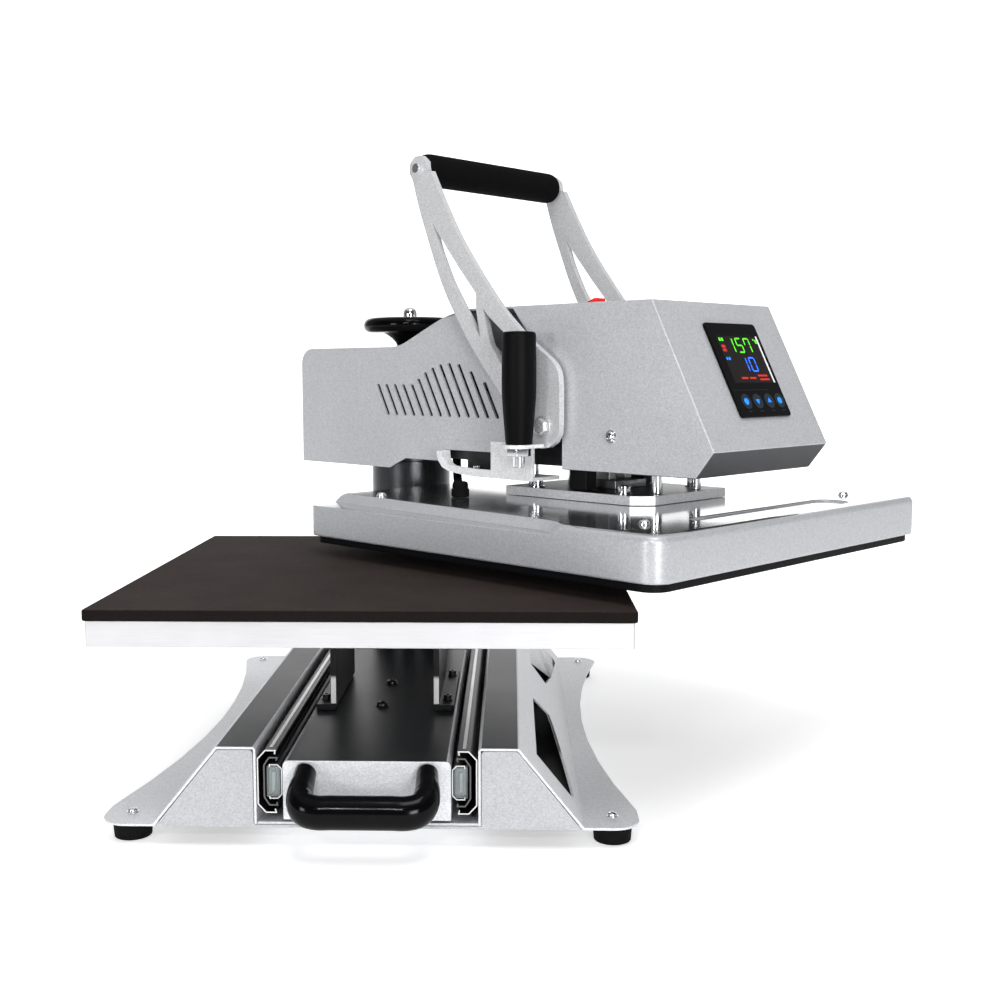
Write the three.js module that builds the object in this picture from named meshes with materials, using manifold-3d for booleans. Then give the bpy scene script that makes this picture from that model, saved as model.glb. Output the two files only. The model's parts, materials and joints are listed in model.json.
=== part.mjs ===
// Swing-away heat press with a draw-out lower platen.
// Millimetres, +Z up, operator at -Y. The origin is the centre of the work surface.
// Inside the model, heights are measured from the bench and the whole press is lowered at the end.

import * as THREE from 'three';
import { mergeVertices } from 'three/addons/utils/BufferGeometryUtils.js';
import Module from 'manifold-3d';

const wasm = await Module();
wasm.setup();

// Shared clearances
const fit = 0.3;
const overrun = 1;

// Poses of the stored rest position, in degrees
const armSwingAngle = 46.8;
const leverBackAngle = 33.7;
const leverPullAngle = 80;
const rockerTilt = 12;

// Base
const footHeight = 15.5;
const footTopRadius = 15;
const footBottomRadius = 14;
const footInsetFront = 25;
const footInsetRear = 19;
const footPitch = 362;
const footBoreRadius = 4;
const footBoreDepth = 5;
const baseSheet = 2;
const baseFrontReach = 150;
const baseRearMargin = 119;
const baseHeight = 76.3;
const channelWidth = 162.6;
const boxTopWidth = 29.7;
const boxSlopeWidth = 47.8;
const bendRadius = 3;
const wingHalfWidth = 200.5;
const wingWaistHalfWidth = 172.5;
const wingCornerRadius = 20;
const wingArcInsetFront = 38;
const wingArcInsetRear = 20;
const finTopInset = 17;
const finFloorMargin = 6;
const finInnerDrop = 18;
const finInnerReach = 64;
const finInnerLean = 10;
const finOuterReach = 227;
const finTipLength = 11;
const finBellyReach = 78;
const finBellyRise = 12;

// Telescopic slides, measured inwards from the channel wall
const slideLength = 396;
const slideHeight = 48;
const slideFloorGap = 6;
const slideWidth = 19.4;
const slideOuterSheet = 1.8;
const slideSheet = 1.5;
const slideOuterLipReach = 15;
const slideMiddleWebInset = 5;
const slideMiddleLipReach = 16;
const slideInnerLipInset = 9;
const raceHeight = 3.4;
const raceWidth = 2.6;
const bufferLength = 7;
const bufferInset = 7.5;
const bufferWall = 2;
const bufferPocketDepth = 5;

// Drawer and lower platen
const carriageRearGap = 17.2;
const carriageTopHeight = 66.5;
const carriageSkirt = 42.5;
const carriageFaceDrop = 44.5;
const carriageCornerRadius = 4;
const bracketPitch = 86;
const bracketSheet = 5;
const bracketLength = 120;
const bracketFrontInset = 18;
const bracketFootWidth = 17;
const bracketShelfWidth = 34;
const platenSize = 380;
const platenThickness = 18.4;
const platenCornerRadius = 2;
const padSize = 383.6;
const padThickness = 8;
const padCornerRadius = 3;
const workSurfaceHeight = 185.5;

// Drawer pull handle
const pullHalfPitch = 43;
const pullHalfWidth = 47;
const pullReach = 38;
const pullTilt = 27;
const pullMountDrop = 9;
const pullLegHalfWidth = 5;
const pullBarHalfDepth = 9;
const pullLegHalfHeight = 7;
const pullBarHalfHeight = 13;

// Swing post and arm frame
const armReach = 268.7;
const postRadius = 35.5;
const postStemRadius = 40.5;
const postCollarRadius = 42;
const postCollarHeight = 5;
const postFlangeRadius = 54;
const postFlangeThickness = 9;
const washerThickness = 3;
const sleeveRadius = 44;
const railInnerHalfWidth = 70;
const railThickness = 6;
const railEndMargin = 0.8;
const railDrop = 34;
const railRise = 28;
const bridgeSetback = 12;
const bridgeRise = 56;
const bridgeThickness = 8;
const diaphragmThickness = 6;
const diaphragmHalfLength = 54;
const diaphragmDrop = 4;
const crossPlateLength = 26;
const crossPlateThickness = 12;
const crossPlateDrop = 26;
const bearingBossRadius = 16;
const shellBossRadius = 6;
const controlBossInset = 18.5;
const controlBossDrop = 6.5;
const rearBossReach = 130;
const tailBossInset = 10;
const rearBossDrop = 20;
const lugLength = 44;
const lugInset = 6;

// Housing shells
const housingHalfWidth = 84;
const housingSheet = 2;
const housingRearReach = 75;
const housingTailLength = 137;
const housingDrop = 46;
const housingFrontDrop = 36;
const housingNotchLength = 22;
const housingNotchRadius = 6;
const housingTailRise = 69.5;
const housingRise = 102;
const housingCrownLength = 71;
const housingShoulderLength = 77;
const housingCornerRadius = 16;
const housingShoulderRadius = 60;
const housingCrownRadius = 150;
const seamTopSetback = 44.7;
const seamSetback = 16.7;
const seamCornerRise = 30;
const seamCornerSpan = 12.3;
const seamCornerRadius = 22;
const leverSlotLength = 61;
const boxFrontSpan = 163.6;
const panelRun = 59.6;
const panelCutDepth = 6;
const boxFrontDrop = 15;
const boxChamferLength = 16.3;
const notchMargin = 15;
const notchHeight = 20;
const ventFirstReach = 61;
const ventLastInset = 45.2;
const ventRise = 4.7;
const ventHeight = 49;
const ventWidth = 4.6;
const ventSlope = 0.53;
const ventHeightShares = [0.6, 0.6, 0.6, 0.6, 0.6, 0.71, 0.83, 0.92, 0.98, 1, 0.98, 0.85, 0.65];

// Controller on the sloping panel
const bezelWidth = 74;
const bezelLength = 85;
const bezelThickness = 2;
const bezelOffset = 6.5;
const bezelTopInset = 20;
const bezelCornerRadius = 3;
const bezelRim = 3;
const controllerDepth = 42;
const windowWidth = 60;
const windowLength = 43;
const windowTopInset = 11.5;
const windowSideInset = 10.5;
const screenDepth = 1;

// Power switch and inlet
const switchSetback = 25.7;
const switchWidth = 22;
const switchLength = 32;
const switchRim = 2.5;
const switchFlange = 1.5;
const switchDepth = 20;
const rockerWidth = 15.4;
const rockerLength = 23;
const rockerDepth = 9;
const rockerSink = 1.5;
const rockerRise = 8.5;
const rockerDish = 1.8;
const inletWidth = 28;
const inletHeight = 20;
const inletDepth = 26;
const inletGap = 3;
const inletRim = 5;
const inletFlange = 2;
const inletOffset = 38;
const inletWall = 2.5;
const bladeWidth = 4;
const bladeThickness = 2;
const bladeLength = 13;
const bladePitch = 7;

// Pressure screw
const wheelRadius = 48;
const wheelRimHeight = 15;
const wheelRimFace = 24;
const wheelEdgeRadius = 7;
const wheelConeRadius = 28;
const wheelHubRadius = 14;
const wheelHubRise = 73;
const wheelRimRise = 86;
const wheelDish = 3;
const screwRadius = 8;
const spindleRadius = 6;
const screwCollarRadius = 12;
const screwCollarHeight = 4;
const screwDrop = 6;
const capNutRadius = 8.4;
const capNutHexHeight = 4.5;
const capNutDomeRadius = 7;
const capNutDomeHeight = 7;
const travelNutThickness = 14;
const travelNutLength = 36;
const travelNutRise = 22;

// Swing bracket and grip
const bracketPlate = 3;
const bracketMargin = 5;
const bracketInnerHalf = 64;
const swingBracketDrop = 46.5;
const trayLength = 59;
const towerLength = 48;
const towerNose = 2;
const swingBracketHeight = 32;
const bracketLipHeight = 7;
const trayRise = 21;
const trayRearSpan = 70;
const trayShares = [[0, 0], [0.3, 0.01], [0.55, 0.06], [0.78, 0.16], [0.9, 0.32], [0.97, 0.6], [1, 1]];
const tabEndRadius = 11;
const tabLength = 25;
const tabWidth = 29;
const gripSetback = 9.2;
const gripSpan = 14.5;
const gripLength = 93;
const gripTopRadius = 14;
const gripWaistRadius = 14.5;
const gripBottomRadius = 11.3;
const gripEdgeRadius = 2;
const studRadius = 5;
const studDrop = 16;
const studRise = 50;
const swingNutRadius = 10.5;
const swingNutHeight = 6.5;

// Lever
const leverLength = 275.4;
const leverPlateThickness = 6;
const leverSideGap = 4;
const leverTipRadius = 12;
const leverHubRadius = 18.5;
const foamRadius = 14.5;
const foamEdgeRadius = 5;
const gripRodRadius = 8;
const gripRodEndRadius = 3.6;
const gripBoltRadius = 4.6;
const gripBoltHeight = 3;
const shaftRadius = 10;
const shaftEndRadius = 6;
const crankRadius = 10.5;
const crankPinRadius = 5;
const crankWebThickness = 9;
const crankWebHubRadius = 12;
const crankWebEndRadius = 8;
const pivotWasherRadius = 9.5;
const pivotWasherThickness = 1.6;
const pivotHeadRadius = 6;
const pivotHeadHeight = 3.5;
const leverFrontShares = [[-0.03, 0.06], [0.043, 0.108], [0.086, 0.134], [0.119, 0.143], [0.155, 0.137],
  [0.21, 0.115], [0.298, 0.084], [0.408, 0.057], [0.54, 0.04], [0.7, 0.029], [0.83, 0.033], [0.955, 0.0435]];
const leverRearShares = [[0.985, -0.041], [0.885, -0.069], [0.743, -0.098], [0.673, -0.111], [0.599, -0.12],
  [0.528, -0.123], [0.369, -0.118], [0.176, -0.094], [0, -0.067]];
const longSlotShares = [[0.806, -0.044], [0.704, -0.035, 0.3], [0.6, -0.023, 0.3], [0.503, -0.009, 0.012],
  [0.461, -0.036, 0.05], [0.375, -0.07], [0.487, -0.077, 0.3], [0.6, -0.079, 0.3], [0.72, -0.066, 0.3]];
const shortSlotShares = [[0.446, -0.01], [0.414, -0.004, 0.1], [0.326, 0.025, 0.06], [0.235, 0.025, 0.03],
  [0.2, -0.004, 0.025], [0.256, -0.041, 0.04], [0.34, -0.044, 0.12]];

// Toggle link between the crank and the head
const linkLength = 36;
const linkThickness = 12;
const linkLowerRadius = 9;
const linkUpperRadius = 14.5;
const openPivotClearance = 4.7;
const sideClearance = 0.8;

// Heated head
const pressedGap = 0.4;
const heatingPlatenSize = 382;
const heatingPlatenThickness = 14.8;
const coverLift = 6.6;
const coverSize = 390;
const coverHeight = 34.3;
const coverSheet = 2;
const coverTopSheet = 3;
const coverCornerRadius = 16;
const coverEdgeRadius = 6;
const ledgeDepth = 7.5;
const ledgeSlope = 8;
const ledgeRearWidth = 42;
const ledgeFrontWidth = 20;
const ledgeFrontInset = 88;
const ledgeNoseInset = 74;
const grooveLength = 205;
const grooveWidth = 32;
const grooveInset = 14;
const grooveDepth = 1.5;
const boardSize = 372;
const boardThickness = 15.8;
const plateWidth = 118;
const plateLength = 156;
const plateThickness = 8;
const plateChamfer = 15;
const plateForward = 2.3;
const guidePostRadius = 5;
const guidePostLength = 66;
const guidePostPitchX = 56;
const guidePostPitchY = 139;
const guideBarWidth = 14;
const guideBarHeight = 40;
const guideBarOffset = 41;
const guideBarLength = 19;
const guideBarSpan = 9.5;
const clevisEarThickness = 9;
const clevisEarRadius = 9;
const clevisPinHeight = 20.4;
const clevisBaseHeight = 7;
const clevisBaseLength = 42;
const clevisBaseWidth = 44;
const clevisPinRadius = 5;
const glandSetback = 89;
const glandOffset = 104;
const glandRadius = 8;
const glandHeight = 10;
const cableRadius = 4;
const cableRise = 36;
const cableRun = 60;
const cableTopOffset = 50;
const cableStations = 12;
const cableRiseShares = [[0, 0], [0.35, -0.02], [0.65, 0.02], [0.9, 0.35], [1, 1]];

// Heights and reaches that follow from the sizes above
const pivotCosine = Math.cos(THREE.MathUtils.degToRad(leverPullAngle));
const pivotSine = Math.sin(THREE.MathUtils.degToRad(leverPullAngle));
const linkRestHeight = Math.sqrt(linkLength ** 2 - (crankRadius * pivotSine) ** 2);
const pressTravel = crankRadius * (1 - pivotCosine) + linkLength - linkRestHeight;
const headBottom = workSurfaceHeight + pressedGap + pressTravel;
const coverBottom = headBottom + coverLift;
const coverTop = coverBottom + coverHeight;
const plateBottom = coverTop + fit;
const plateTop = plateBottom + plateThickness;
const clevisPinZ = plateTop + clevisPinHeight;
const pivotHeight = clevisPinZ + linkRestHeight + crankRadius * pivotCosine;
const housingBottom = pivotHeight - housingDrop;
const housingFrontBottom = pivotHeight - housingFrontDrop;
const housingTop = pivotHeight + housingRise;
const housingTailTop = pivotHeight + housingTailRise;
const railRearReach = housingRearReach - inletDepth - inletGap;
const bridgeHalfLength = railRearReach - bridgeSetback;
const tailBossReach = railRearReach - tailBossInset;
const railFrontReach = armReach + guidePostPitchY / 2 + crossPlateLength / 2 + railEndMargin;
const controlBossReach = railFrontReach - controlBossInset;
const seamTopReach = armReach - seamTopSetback;
const seamReach = armReach - seamSetback;
const housingShoulderReach = seamTopReach - housingCrownLength - housingShoulderLength;
const seamCornerReach = armReach + seamCornerSpan;
const boxFrontReach = armReach + boxFrontSpan;
const boxTopReach = boxFrontReach - panelRun;
const switchReach = armReach - switchSetback;
const gripReach = armReach - gripSetback;
const leverPlateInset = housingHalfWidth + leverSideGap;
const bracketOuterHalf = leverPlateInset + leverPlateThickness + bracketMargin;
const gripOffset = bracketOuterHalf + gripSpan;
const swingBracketFront = gripReach + towerNose;
const swingBracketStep = swingBracketFront - towerLength;
const swingBracketRear = swingBracketStep - trayLength;
const notchRearReach = swingBracketRear - notchMargin;
const lugReach = swingBracketRear + lugInset;
const ventCount = ventHeightShares.length;
const ventPitch = (seamReach - ventFirstReach - ventLastInset) / (ventCount - 1);
const guideBarFront = armReach + guideBarSpan;
const guideBarRear = guideBarFront - guideBarLength;
const glandReach = armReach - glandSetback;
const cableTopReach = glandReach - cableRun;
const baseFront = -baseFrontReach;
const baseRear = armReach + baseRearMargin - baseSheet - fit;
const baseMiddle = (baseFront + baseRear) / 2;
const wingBottom = footHeight;
const wingTop = wingBottom + baseSheet;
const floorBottom = wingTop + 2 * fit;
const floorTop = floorBottom + baseSheet;
const wallX = channelWidth / 2;
const slideZ = floorTop + slideFloorGap + slideHeight / 2;
const slideFront = baseFront + overrun;
const carriageHalfWidth = wallX - slideWidth - fit;
const carriageFront = baseFront + overrun;
const platenBottom = workSurfaceHeight - padThickness - platenThickness;

// Geometry helpers

const axisX = new THREE.Vector3(1, 0, 0);
const axisY = new THREE.Vector3(0, 1, 0);
const axisZ = new THREE.Vector3(0, 0, 1);
const profileFrames = {
  x: new THREE.Matrix4().makeBasis(axisY, axisZ, axisX),
  y: new THREE.Matrix4().makeBasis(axisX, axisZ, axisY.clone().negate()),
  z: new THREE.Matrix4(),
};

// Drops triangles that share a vertex twice and turns the rest outwards.
function closedGeometry(positions, indices) {
  const kept = [];
  let volume = 0;
  const corner = [new THREE.Vector3(), new THREE.Vector3(), new THREE.Vector3()];
  for (let start = 0; start < indices.length; start += 3) {
    const [a, b, c] = [indices[start], indices[start + 1], indices[start + 2]];
    if (a === b || b === c || a === c) continue;
    kept.push(a, b, c);
    [a, b, c].forEach((vertex, slot) => corner[slot].fromArray(positions, 3 * vertex));
    volume += corner[0].dot(corner[1].clone().cross(corner[2]));
  }
  const turned = volume < 0;
  const outward = kept.map((vertex, slot) => (turned ? kept[slot + [0, 1, -1][slot % 3]] : vertex));
  const geometry = new THREE.BufferGeometry();
  geometry.setAttribute('position', new THREE.Float32BufferAttribute(positions, 3));
  geometry.setIndex(outward);
  geometry.computeVertexNormals();
  return geometry;
}

function welded(geometry) {
  const bare = new THREE.BufferGeometry();
  bare.setAttribute('position', geometry.getAttribute('position'));
  bare.setIndex(geometry.getIndex());
  const merged = mergeVertices(bare, 1e-4);
  return closedGeometry(Array.from(merged.getAttribute('position').array), Array.from(merged.getIndex().array));
}

function toManifold(geometry) {
  const merged = welded(geometry);
  return new wasm.Manifold(new wasm.Mesh({
    numProp: 3,
    vertProperties: new Float32Array(merged.getAttribute('position').array),
    triVerts: new Uint32Array(merged.getIndex().array),
  }));
}

function fromManifold(manifold) {
  const mesh = manifold.getMesh();
  return closedGeometry(Array.from(mesh.vertProperties), Array.from(mesh.triVerts));
}

function join(first, ...others) {
  return fromManifold(others.reduce((whole, part) => whole.add(toManifold(part)), toManifold(first)));
}

function cut(body, ...tools) {
  return fromManifold(tools.reduce((whole, tool) => whole.subtract(toManifold(tool)), toManifold(body)));
}

function common(body, other) {
  return fromManifold(toManifold(body).intersect(toManifold(other)));
}

// A closed outline from corners [a, b] or [a, b, radius], with true arcs at the rounded ones.
function outline(corners) {
  const shape = new THREE.Shape();
  corners.forEach(([a, b, radius = 0], index) => {
    const corner = new THREE.Vector2(a, b);
    const previous = corners[(index + corners.length - 1) % corners.length];
    const next = corners[(index + 1) % corners.length];
    const back = new THREE.Vector2(previous[0], previous[1]).sub(corner).normalize();
    const ahead = new THREE.Vector2(next[0], next[1]).sub(corner).normalize();
    if (radius === 0) {
      if (index === 0) shape.moveTo(a, b);
      else shape.lineTo(a, b);
      return;
    }
    const half = back.angleTo(ahead) / 2;
    const start = corner.clone().addScaledVector(back, radius / Math.tan(half));
    const end = corner.clone().addScaledVector(ahead, radius / Math.tan(half));
    const centre = corner.clone().addScaledVector(back.clone().add(ahead).normalize(), radius / Math.sin(half));
    if (index === 0) shape.moveTo(start.x, start.y);
    else shape.lineTo(start.x, start.y);
    const from = start.clone().sub(centre).angle();
    const to = end.clone().sub(centre).angle();
    shape.absarc(centre.x, centre.y, radius, from, to, back.cross(ahead) > 0);
  });
  shape.closePath();
  return shape;
}

function rectangle(a0, a1, b0, b1, radius = 0) {
  return outline([[a0, b0, radius], [a1, b0, radius], [a1, b1, radius], [a0, b1, radius]]);
}

// A solid with the outline as its section, from one place to another along an axis.
// Outlines are (y, z) along x, (x, z) along y and (x, y) along z.
function prism(axis, shape, from, to, curveSegments = 2) {
  const geometry = new THREE.ExtrudeGeometry(shape, { depth: to - from, bevelEnabled: false, curveSegments });
  geometry.applyMatrix4(profileFrames[axis]);
  const shift = { x: [from, 0, 0], y: [0, to, 0], z: [0, 0, from] }[axis];
  return geometry.translate(...shift);
}

function block(x0, x1, y0, y1, z0, z1) {
  const geometry = new THREE.BoxGeometry(x1 - x0, y1 - y0, z1 - z0);
  return geometry.translate((x0 + x1) / 2, (y0 + y1) / 2, (z0 + z1) / 2);
}

function roundBar(axis, radius, from, to, [a, b] = [0, 0], sides = 24) {
  const geometry = new THREE.CylinderGeometry(radius, radius, to - from, sides);
  const middle = (from + to) / 2;
  if (axis === 'x') return geometry.rotateZ(-Math.PI / 2).translate(middle, a, b);
  if (axis === 'y') return geometry.translate(a, middle, b);
  return geometry.rotateX(Math.PI / 2).translate(a, b, middle);
}

// A turned solid about the vertical axis, from (radius, height) points.
function turned(points, sides = 32) {
  return welded(new THREE.LatheGeometry(points.map(([r, h]) => new THREE.Vector2(r, h)), sides)
    .rotateX(Math.PI / 2));
}

function ring(outer, inner, from, to, sides = 40) {
  return turned([[inner, from], [outer, from], [outer, to], [inner, to], [inner, from]], sides);
}

// A solid through elliptical sections along a path that stays in one plane.
function loft(stations, planeNormal, sides = 10) {
  const positions = [];
  const indices = [];
  stations.forEach(({ at, half, tall }, index) => {
    const before = stations[Math.max(index - 1, 0)].at;
    const after = stations[Math.min(index + 1, stations.length - 1)].at;
    const across = new THREE.Vector3().crossVectors(planeNormal, after.clone().sub(before)).normalize();
    for (let side = 0; side < sides; side += 1) {
      const turn = (2 * Math.PI * side) / sides;
      const point = at.clone().addScaledVector(across, half * Math.cos(turn));
      positions.push(...point.addScaledVector(planeNormal, tall * Math.sin(turn)).toArray());
    }
  });
  const last = stations.length - 1;
  for (let row = 0; row < last; row += 1) {
    for (let side = 0; side < sides; side += 1) {
      const next = (side + 1) % sides;
      const [a, b] = [row * sides + side, row * sides + next];
      indices.push(a, b, b + sides, a, b + sides, a + sides);
    }
  }
  for (let side = 1; side < sides - 1; side += 1) {
    indices.push(0, side + 1, side);
    indices.push(last * sides, last * sides + side, last * sides + side + 1);
  }
  return closedGeometry(positions, indices);
}

function mirrored(geometry, sign) {
  return sign < 0 ? welded(geometry.clone().scale(-1, 1, 1)) : geometry;
}

// Finishes

const paint = { color: 0xbfc0c4, roughness: 0.42, metalness: 0.55 };
const chrome = { color: 0xe4e6e8, roughness: 0.12, metalness: 1 };
const steel = { color: 0xa9abad, roughness: 0.35, metalness: 0.9 };
const darkSteel = { color: 0x2b2c2e, roughness: 0.4, metalness: 0.7 };
const aluminium = { color: 0xe6e6e8, roughness: 0.4, metalness: 0.9 };
const glossBlack = { color: 0x0c0c0d, roughness: 0.18, metalness: 0 };
const mattBlack = { color: 0x161617, roughness: 0.7, metalness: 0 };
const sponge = { color: 0x3d302c, roughness: 0.9, metalness: 0 };
const board = { color: 0xcfc7b4, roughness: 0.85, metalness: 0 };
const clear = { color: 0xdfe3e6, roughness: 0.1, metalness: 0 };
const red = { color: 0xd8201c, roughness: 0.25, metalness: 0 };
const glass = { color: 0x15171c, roughness: 0.08, metalness: 0 };

function addPiece(group, name, geometry, finish) {
  const mesh = new THREE.Mesh(welded(geometry), new THREE.MeshStandardMaterial(finish));
  mesh.name = name;
  group.add(mesh);
  return mesh;
}

const bothSides = [['left', -1], ['right', 1]];

// Base

// Outer face of the sloped wall at a height above the bench.
function slopeX(height) {
  const topEdge = wallX + boxTopWidth;
  return topEdge + ((baseHeight - height) * boxSlopeWidth) / (baseHeight - wingTop);
}

function slopeSheetShift() {
  const rise = baseHeight - wingTop;
  return (baseSheet * Math.hypot(rise, boxSlopeWidth)) / rise;
}

function sideFrame() {
  const under = baseHeight - baseSheet;
  const profile = outline([
    [wallX, floorBottom],
    [wallX + baseSheet, floorBottom],
    [wallX + baseSheet, under],
    [slopeX(under) - slopeSheetShift(), under],
    [slopeX(wingBottom) - slopeSheetShift(), wingBottom],
    [wingHalfWidth + overrun, wingBottom],
    [wingHalfWidth + overrun, wingTop],
    [slopeX(wingTop), wingTop],
    [slopeX(baseHeight), baseHeight, bendRadius],
    [wallX, baseHeight, bendRadius],
  ]);
  const arcFront = baseFront + wingArcInsetFront;
  const arcRear = baseRear - wingArcInsetRear;
  const sag = wingHalfWidth - wingWaistHalfWidth;
  const halfChord = (arcRear - arcFront) / 2;
  const arcRadius = (halfChord ** 2 + sag ** 2) / (2 * sag);
  const spread = Math.asin(halfChord / arcRadius);
  const plan = new THREE.Shape();
  const corner = wingCornerRadius;
  plan.moveTo(wallX - overrun, baseFront);
  plan.lineTo(wingHalfWidth - corner, baseFront);
  plan.absarc(wingHalfWidth - corner, baseFront + corner, corner, -Math.PI / 2, 0, false);
  plan.absarc(wingWaistHalfWidth + arcRadius, (arcFront + arcRear) / 2, arcRadius,
    Math.PI + spread, Math.PI - spread, true);
  plan.absarc(wingHalfWidth - corner, baseRear - corner, corner, 0, Math.PI / 2, false);
  plan.lineTo(wallX - overrun, baseRear);
  plan.closePath();
  const sheet = common(prism('y', profile, baseFront, baseRear), prism('z', plan, 0, baseHeight, 4));
  return cut(sheet, ...[-1, 1].map((end) => prism('x', finOutline(end), slopeX(baseHeight), wingHalfWidth, 4)));
}

// One fin-shaped cut-out of the sloped wall, towards the front (-1) or the rear (+1).
function finOutline(end) {
  const top = baseHeight - finTopInset;
  const low = wingTop + finFloorMargin;
  const inner = top - finInnerDrop;
  const place = (reach) => baseMiddle + end * reach;
  const shape = new THREE.Shape();
  shape.moveTo(place(finInnerReach), top);
  shape.lineTo(place(finOuterReach), top);
  shape.lineTo(place(finOuterReach), low + baseSheet);
  shape.lineTo(place(finOuterReach - finTipLength), low);
  shape.quadraticCurveTo(place(finBellyReach), low + finBellyRise,
    place(finInnerReach - finInnerLean), inner);
  shape.closePath();
  return shape;
}

function frontPlate() {
  const top = baseHeight - baseSheet - fit;
  const inset = slopeSheetShift() + fit;
  const inner = wallX + baseSheet + fit;
  const strip = floorBottom - fit;
  const half = [
    [inner, strip],
    [inner, top, bendRadius],
    [slopeX(top) - inset, top, bendRadius],
    [slopeX(wingBottom) - inset - fit, wingBottom],
  ];
  const otherHalf = half.map(([x, z, radius = 0]) => [-x, z, radius]).reverse();
  return prism('y', outline([...half, ...otherHalf]), baseFront, baseFront + baseSheet);
}

function rearPlate() {
  const half = [[slopeX(wingTop), wingBottom], [slopeX(wingTop), wingTop], [slopeX(baseHeight), baseHeight, bendRadius]];
  const otherHalf = half.map(([x, z, radius = 0]) => [-x, z, radius]).reverse();
  return prism('y', outline([...half, ...otherHalf]), baseRear + fit, baseRear + fit + baseSheet);
}

function foot() {
  const rubber = turned([[0, 0], [footBottomRadius, 0], [footTopRadius, footHeight - fit],
    [0, footHeight - fit]], 24);
  return cut(rubber, roundBar('z', footBoreRadius, -overrun, footBoreDepth, [0, 0], 12));
}

// Section of one slide member, in inward distances from the channel wall, for the right side.
function slideSection(webNear, webFar, lipEnd, halfHeight, sheet, race) {
  const x = (inward) => wallX - inward;
  const half = (sign) => [
    [x(webNear), slideZ + sign * halfHeight, sheet],
    [x(lipEnd), slideZ + sign * halfHeight],
    [x(lipEnd), slideZ + sign * (halfHeight - sheet - race)],
    [x(lipEnd + Math.sign(webFar - lipEnd) * raceWidth), slideZ + sign * (halfHeight - sheet - race)],
    [x(lipEnd + Math.sign(webFar - lipEnd) * raceWidth), slideZ + sign * (halfHeight - sheet)],
    [x(webFar), slideZ + sign * (halfHeight - sheet)],
  ].filter((corner, index) => race > 0 || index < 2 || index > 4 || index === 2);
  const lower = half(-1);
  const upper = half(1).reverse();
  return outline([...lower, ...upper]);
}

const slideOuterHalf = slideHeight / 2;
const slideMiddleHalf = slideOuterHalf - slideOuterSheet - raceHeight - fit;
const slideInnerHalf = slideMiddleHalf - slideSheet - raceHeight - fit;

function slideMember(section) {
  return prism('y', section, slideFront, slideFront + slideLength, 1);
}

function slideOuter() {
  return slideMember(slideSection(fit, fit + slideOuterSheet, slideOuterLipReach, slideOuterHalf,
    slideOuterSheet, raceHeight));
}

function slideMiddle() {
  return slideMember(slideSection(slideMiddleWebInset, slideMiddleWebInset + slideSheet, slideMiddleLipReach,
    slideMiddleHalf, slideSheet, raceHeight));
}

function slideInner() {
  return slideMember(slideSection(slideWidth, slideWidth - slideSheet, slideInnerLipInset, slideInnerHalf,
    slideSheet, 0));
}

// Clear plastic end buffer inside the inner slide member.
function slideBuffer() {
  const [near, far] = [wallX - slideWidth + slideSheet + fit, wallX - bufferInset];
  const half = slideInnerHalf - slideSheet - fit;
  const body = block(near, far, slideFront, slideFront + bufferLength, slideZ - half, slideZ + half);
  const pocket = block(near + bufferWall, far - bufferWall, slideFront - overrun, slideFront + bufferPocketDepth,
    slideZ - half + bufferWall, slideZ + half - bufferWall);
  return cut(body, pocket);
}

function addBase(press) {
  const frame = sideFrame();
  bothSides.forEach(([side, sign]) => {
    addPiece(press, `side_frame_${side}`, mirrored(frame, sign), paint);
    addPiece(press, `slide_outer_${side}`, mirrored(slideOuter(), sign), darkSteel);
  });
  addPiece(press, 'base_floor',
    block(fit - wallX, wallX - fit, baseFront, baseRear, floorBottom, floorTop), paint);
  addPiece(press, 'front_plate', frontPlate(), paint);
  addPiece(press, 'rear_plate', rearPlate(), paint);
  bothSides.forEach(([side, sign]) => {
    [['front', baseFront + footInsetFront], ['rear', baseRear - footInsetRear]].forEach(([end, y]) => {
      const rubber = foot().translate((sign * footPitch) / 2, y, 0);
      addPiece(press, `foot_${end}_${side}`, rubber, mattBlack);
    });
  });
}

// Drawer

function carriage() {
  const [half, top] = [carriageHalfWidth, carriageTopHeight];
  const low = top - carriageSkirt;
  const section = outline([[-half, low], [baseSheet - half, low], [baseSheet - half, top - baseSheet],
    [half - baseSheet, top - baseSheet], [half - baseSheet, low], [half, low],
    [half, top, carriageCornerRadius], [-half, top, carriageCornerRadius]]);
  const tray = prism('y', section, carriageFront - baseSheet / 2, armReach - postStemRadius - carriageRearGap);
  const face = outline([[-half, top - carriageFaceDrop], [half, top - carriageFaceDrop],
    [half, top, carriageCornerRadius], [-half, top, carriageCornerRadius]]);
  return join(tray, prism('y', face, carriageFront - baseSheet, carriageFront));
}

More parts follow.
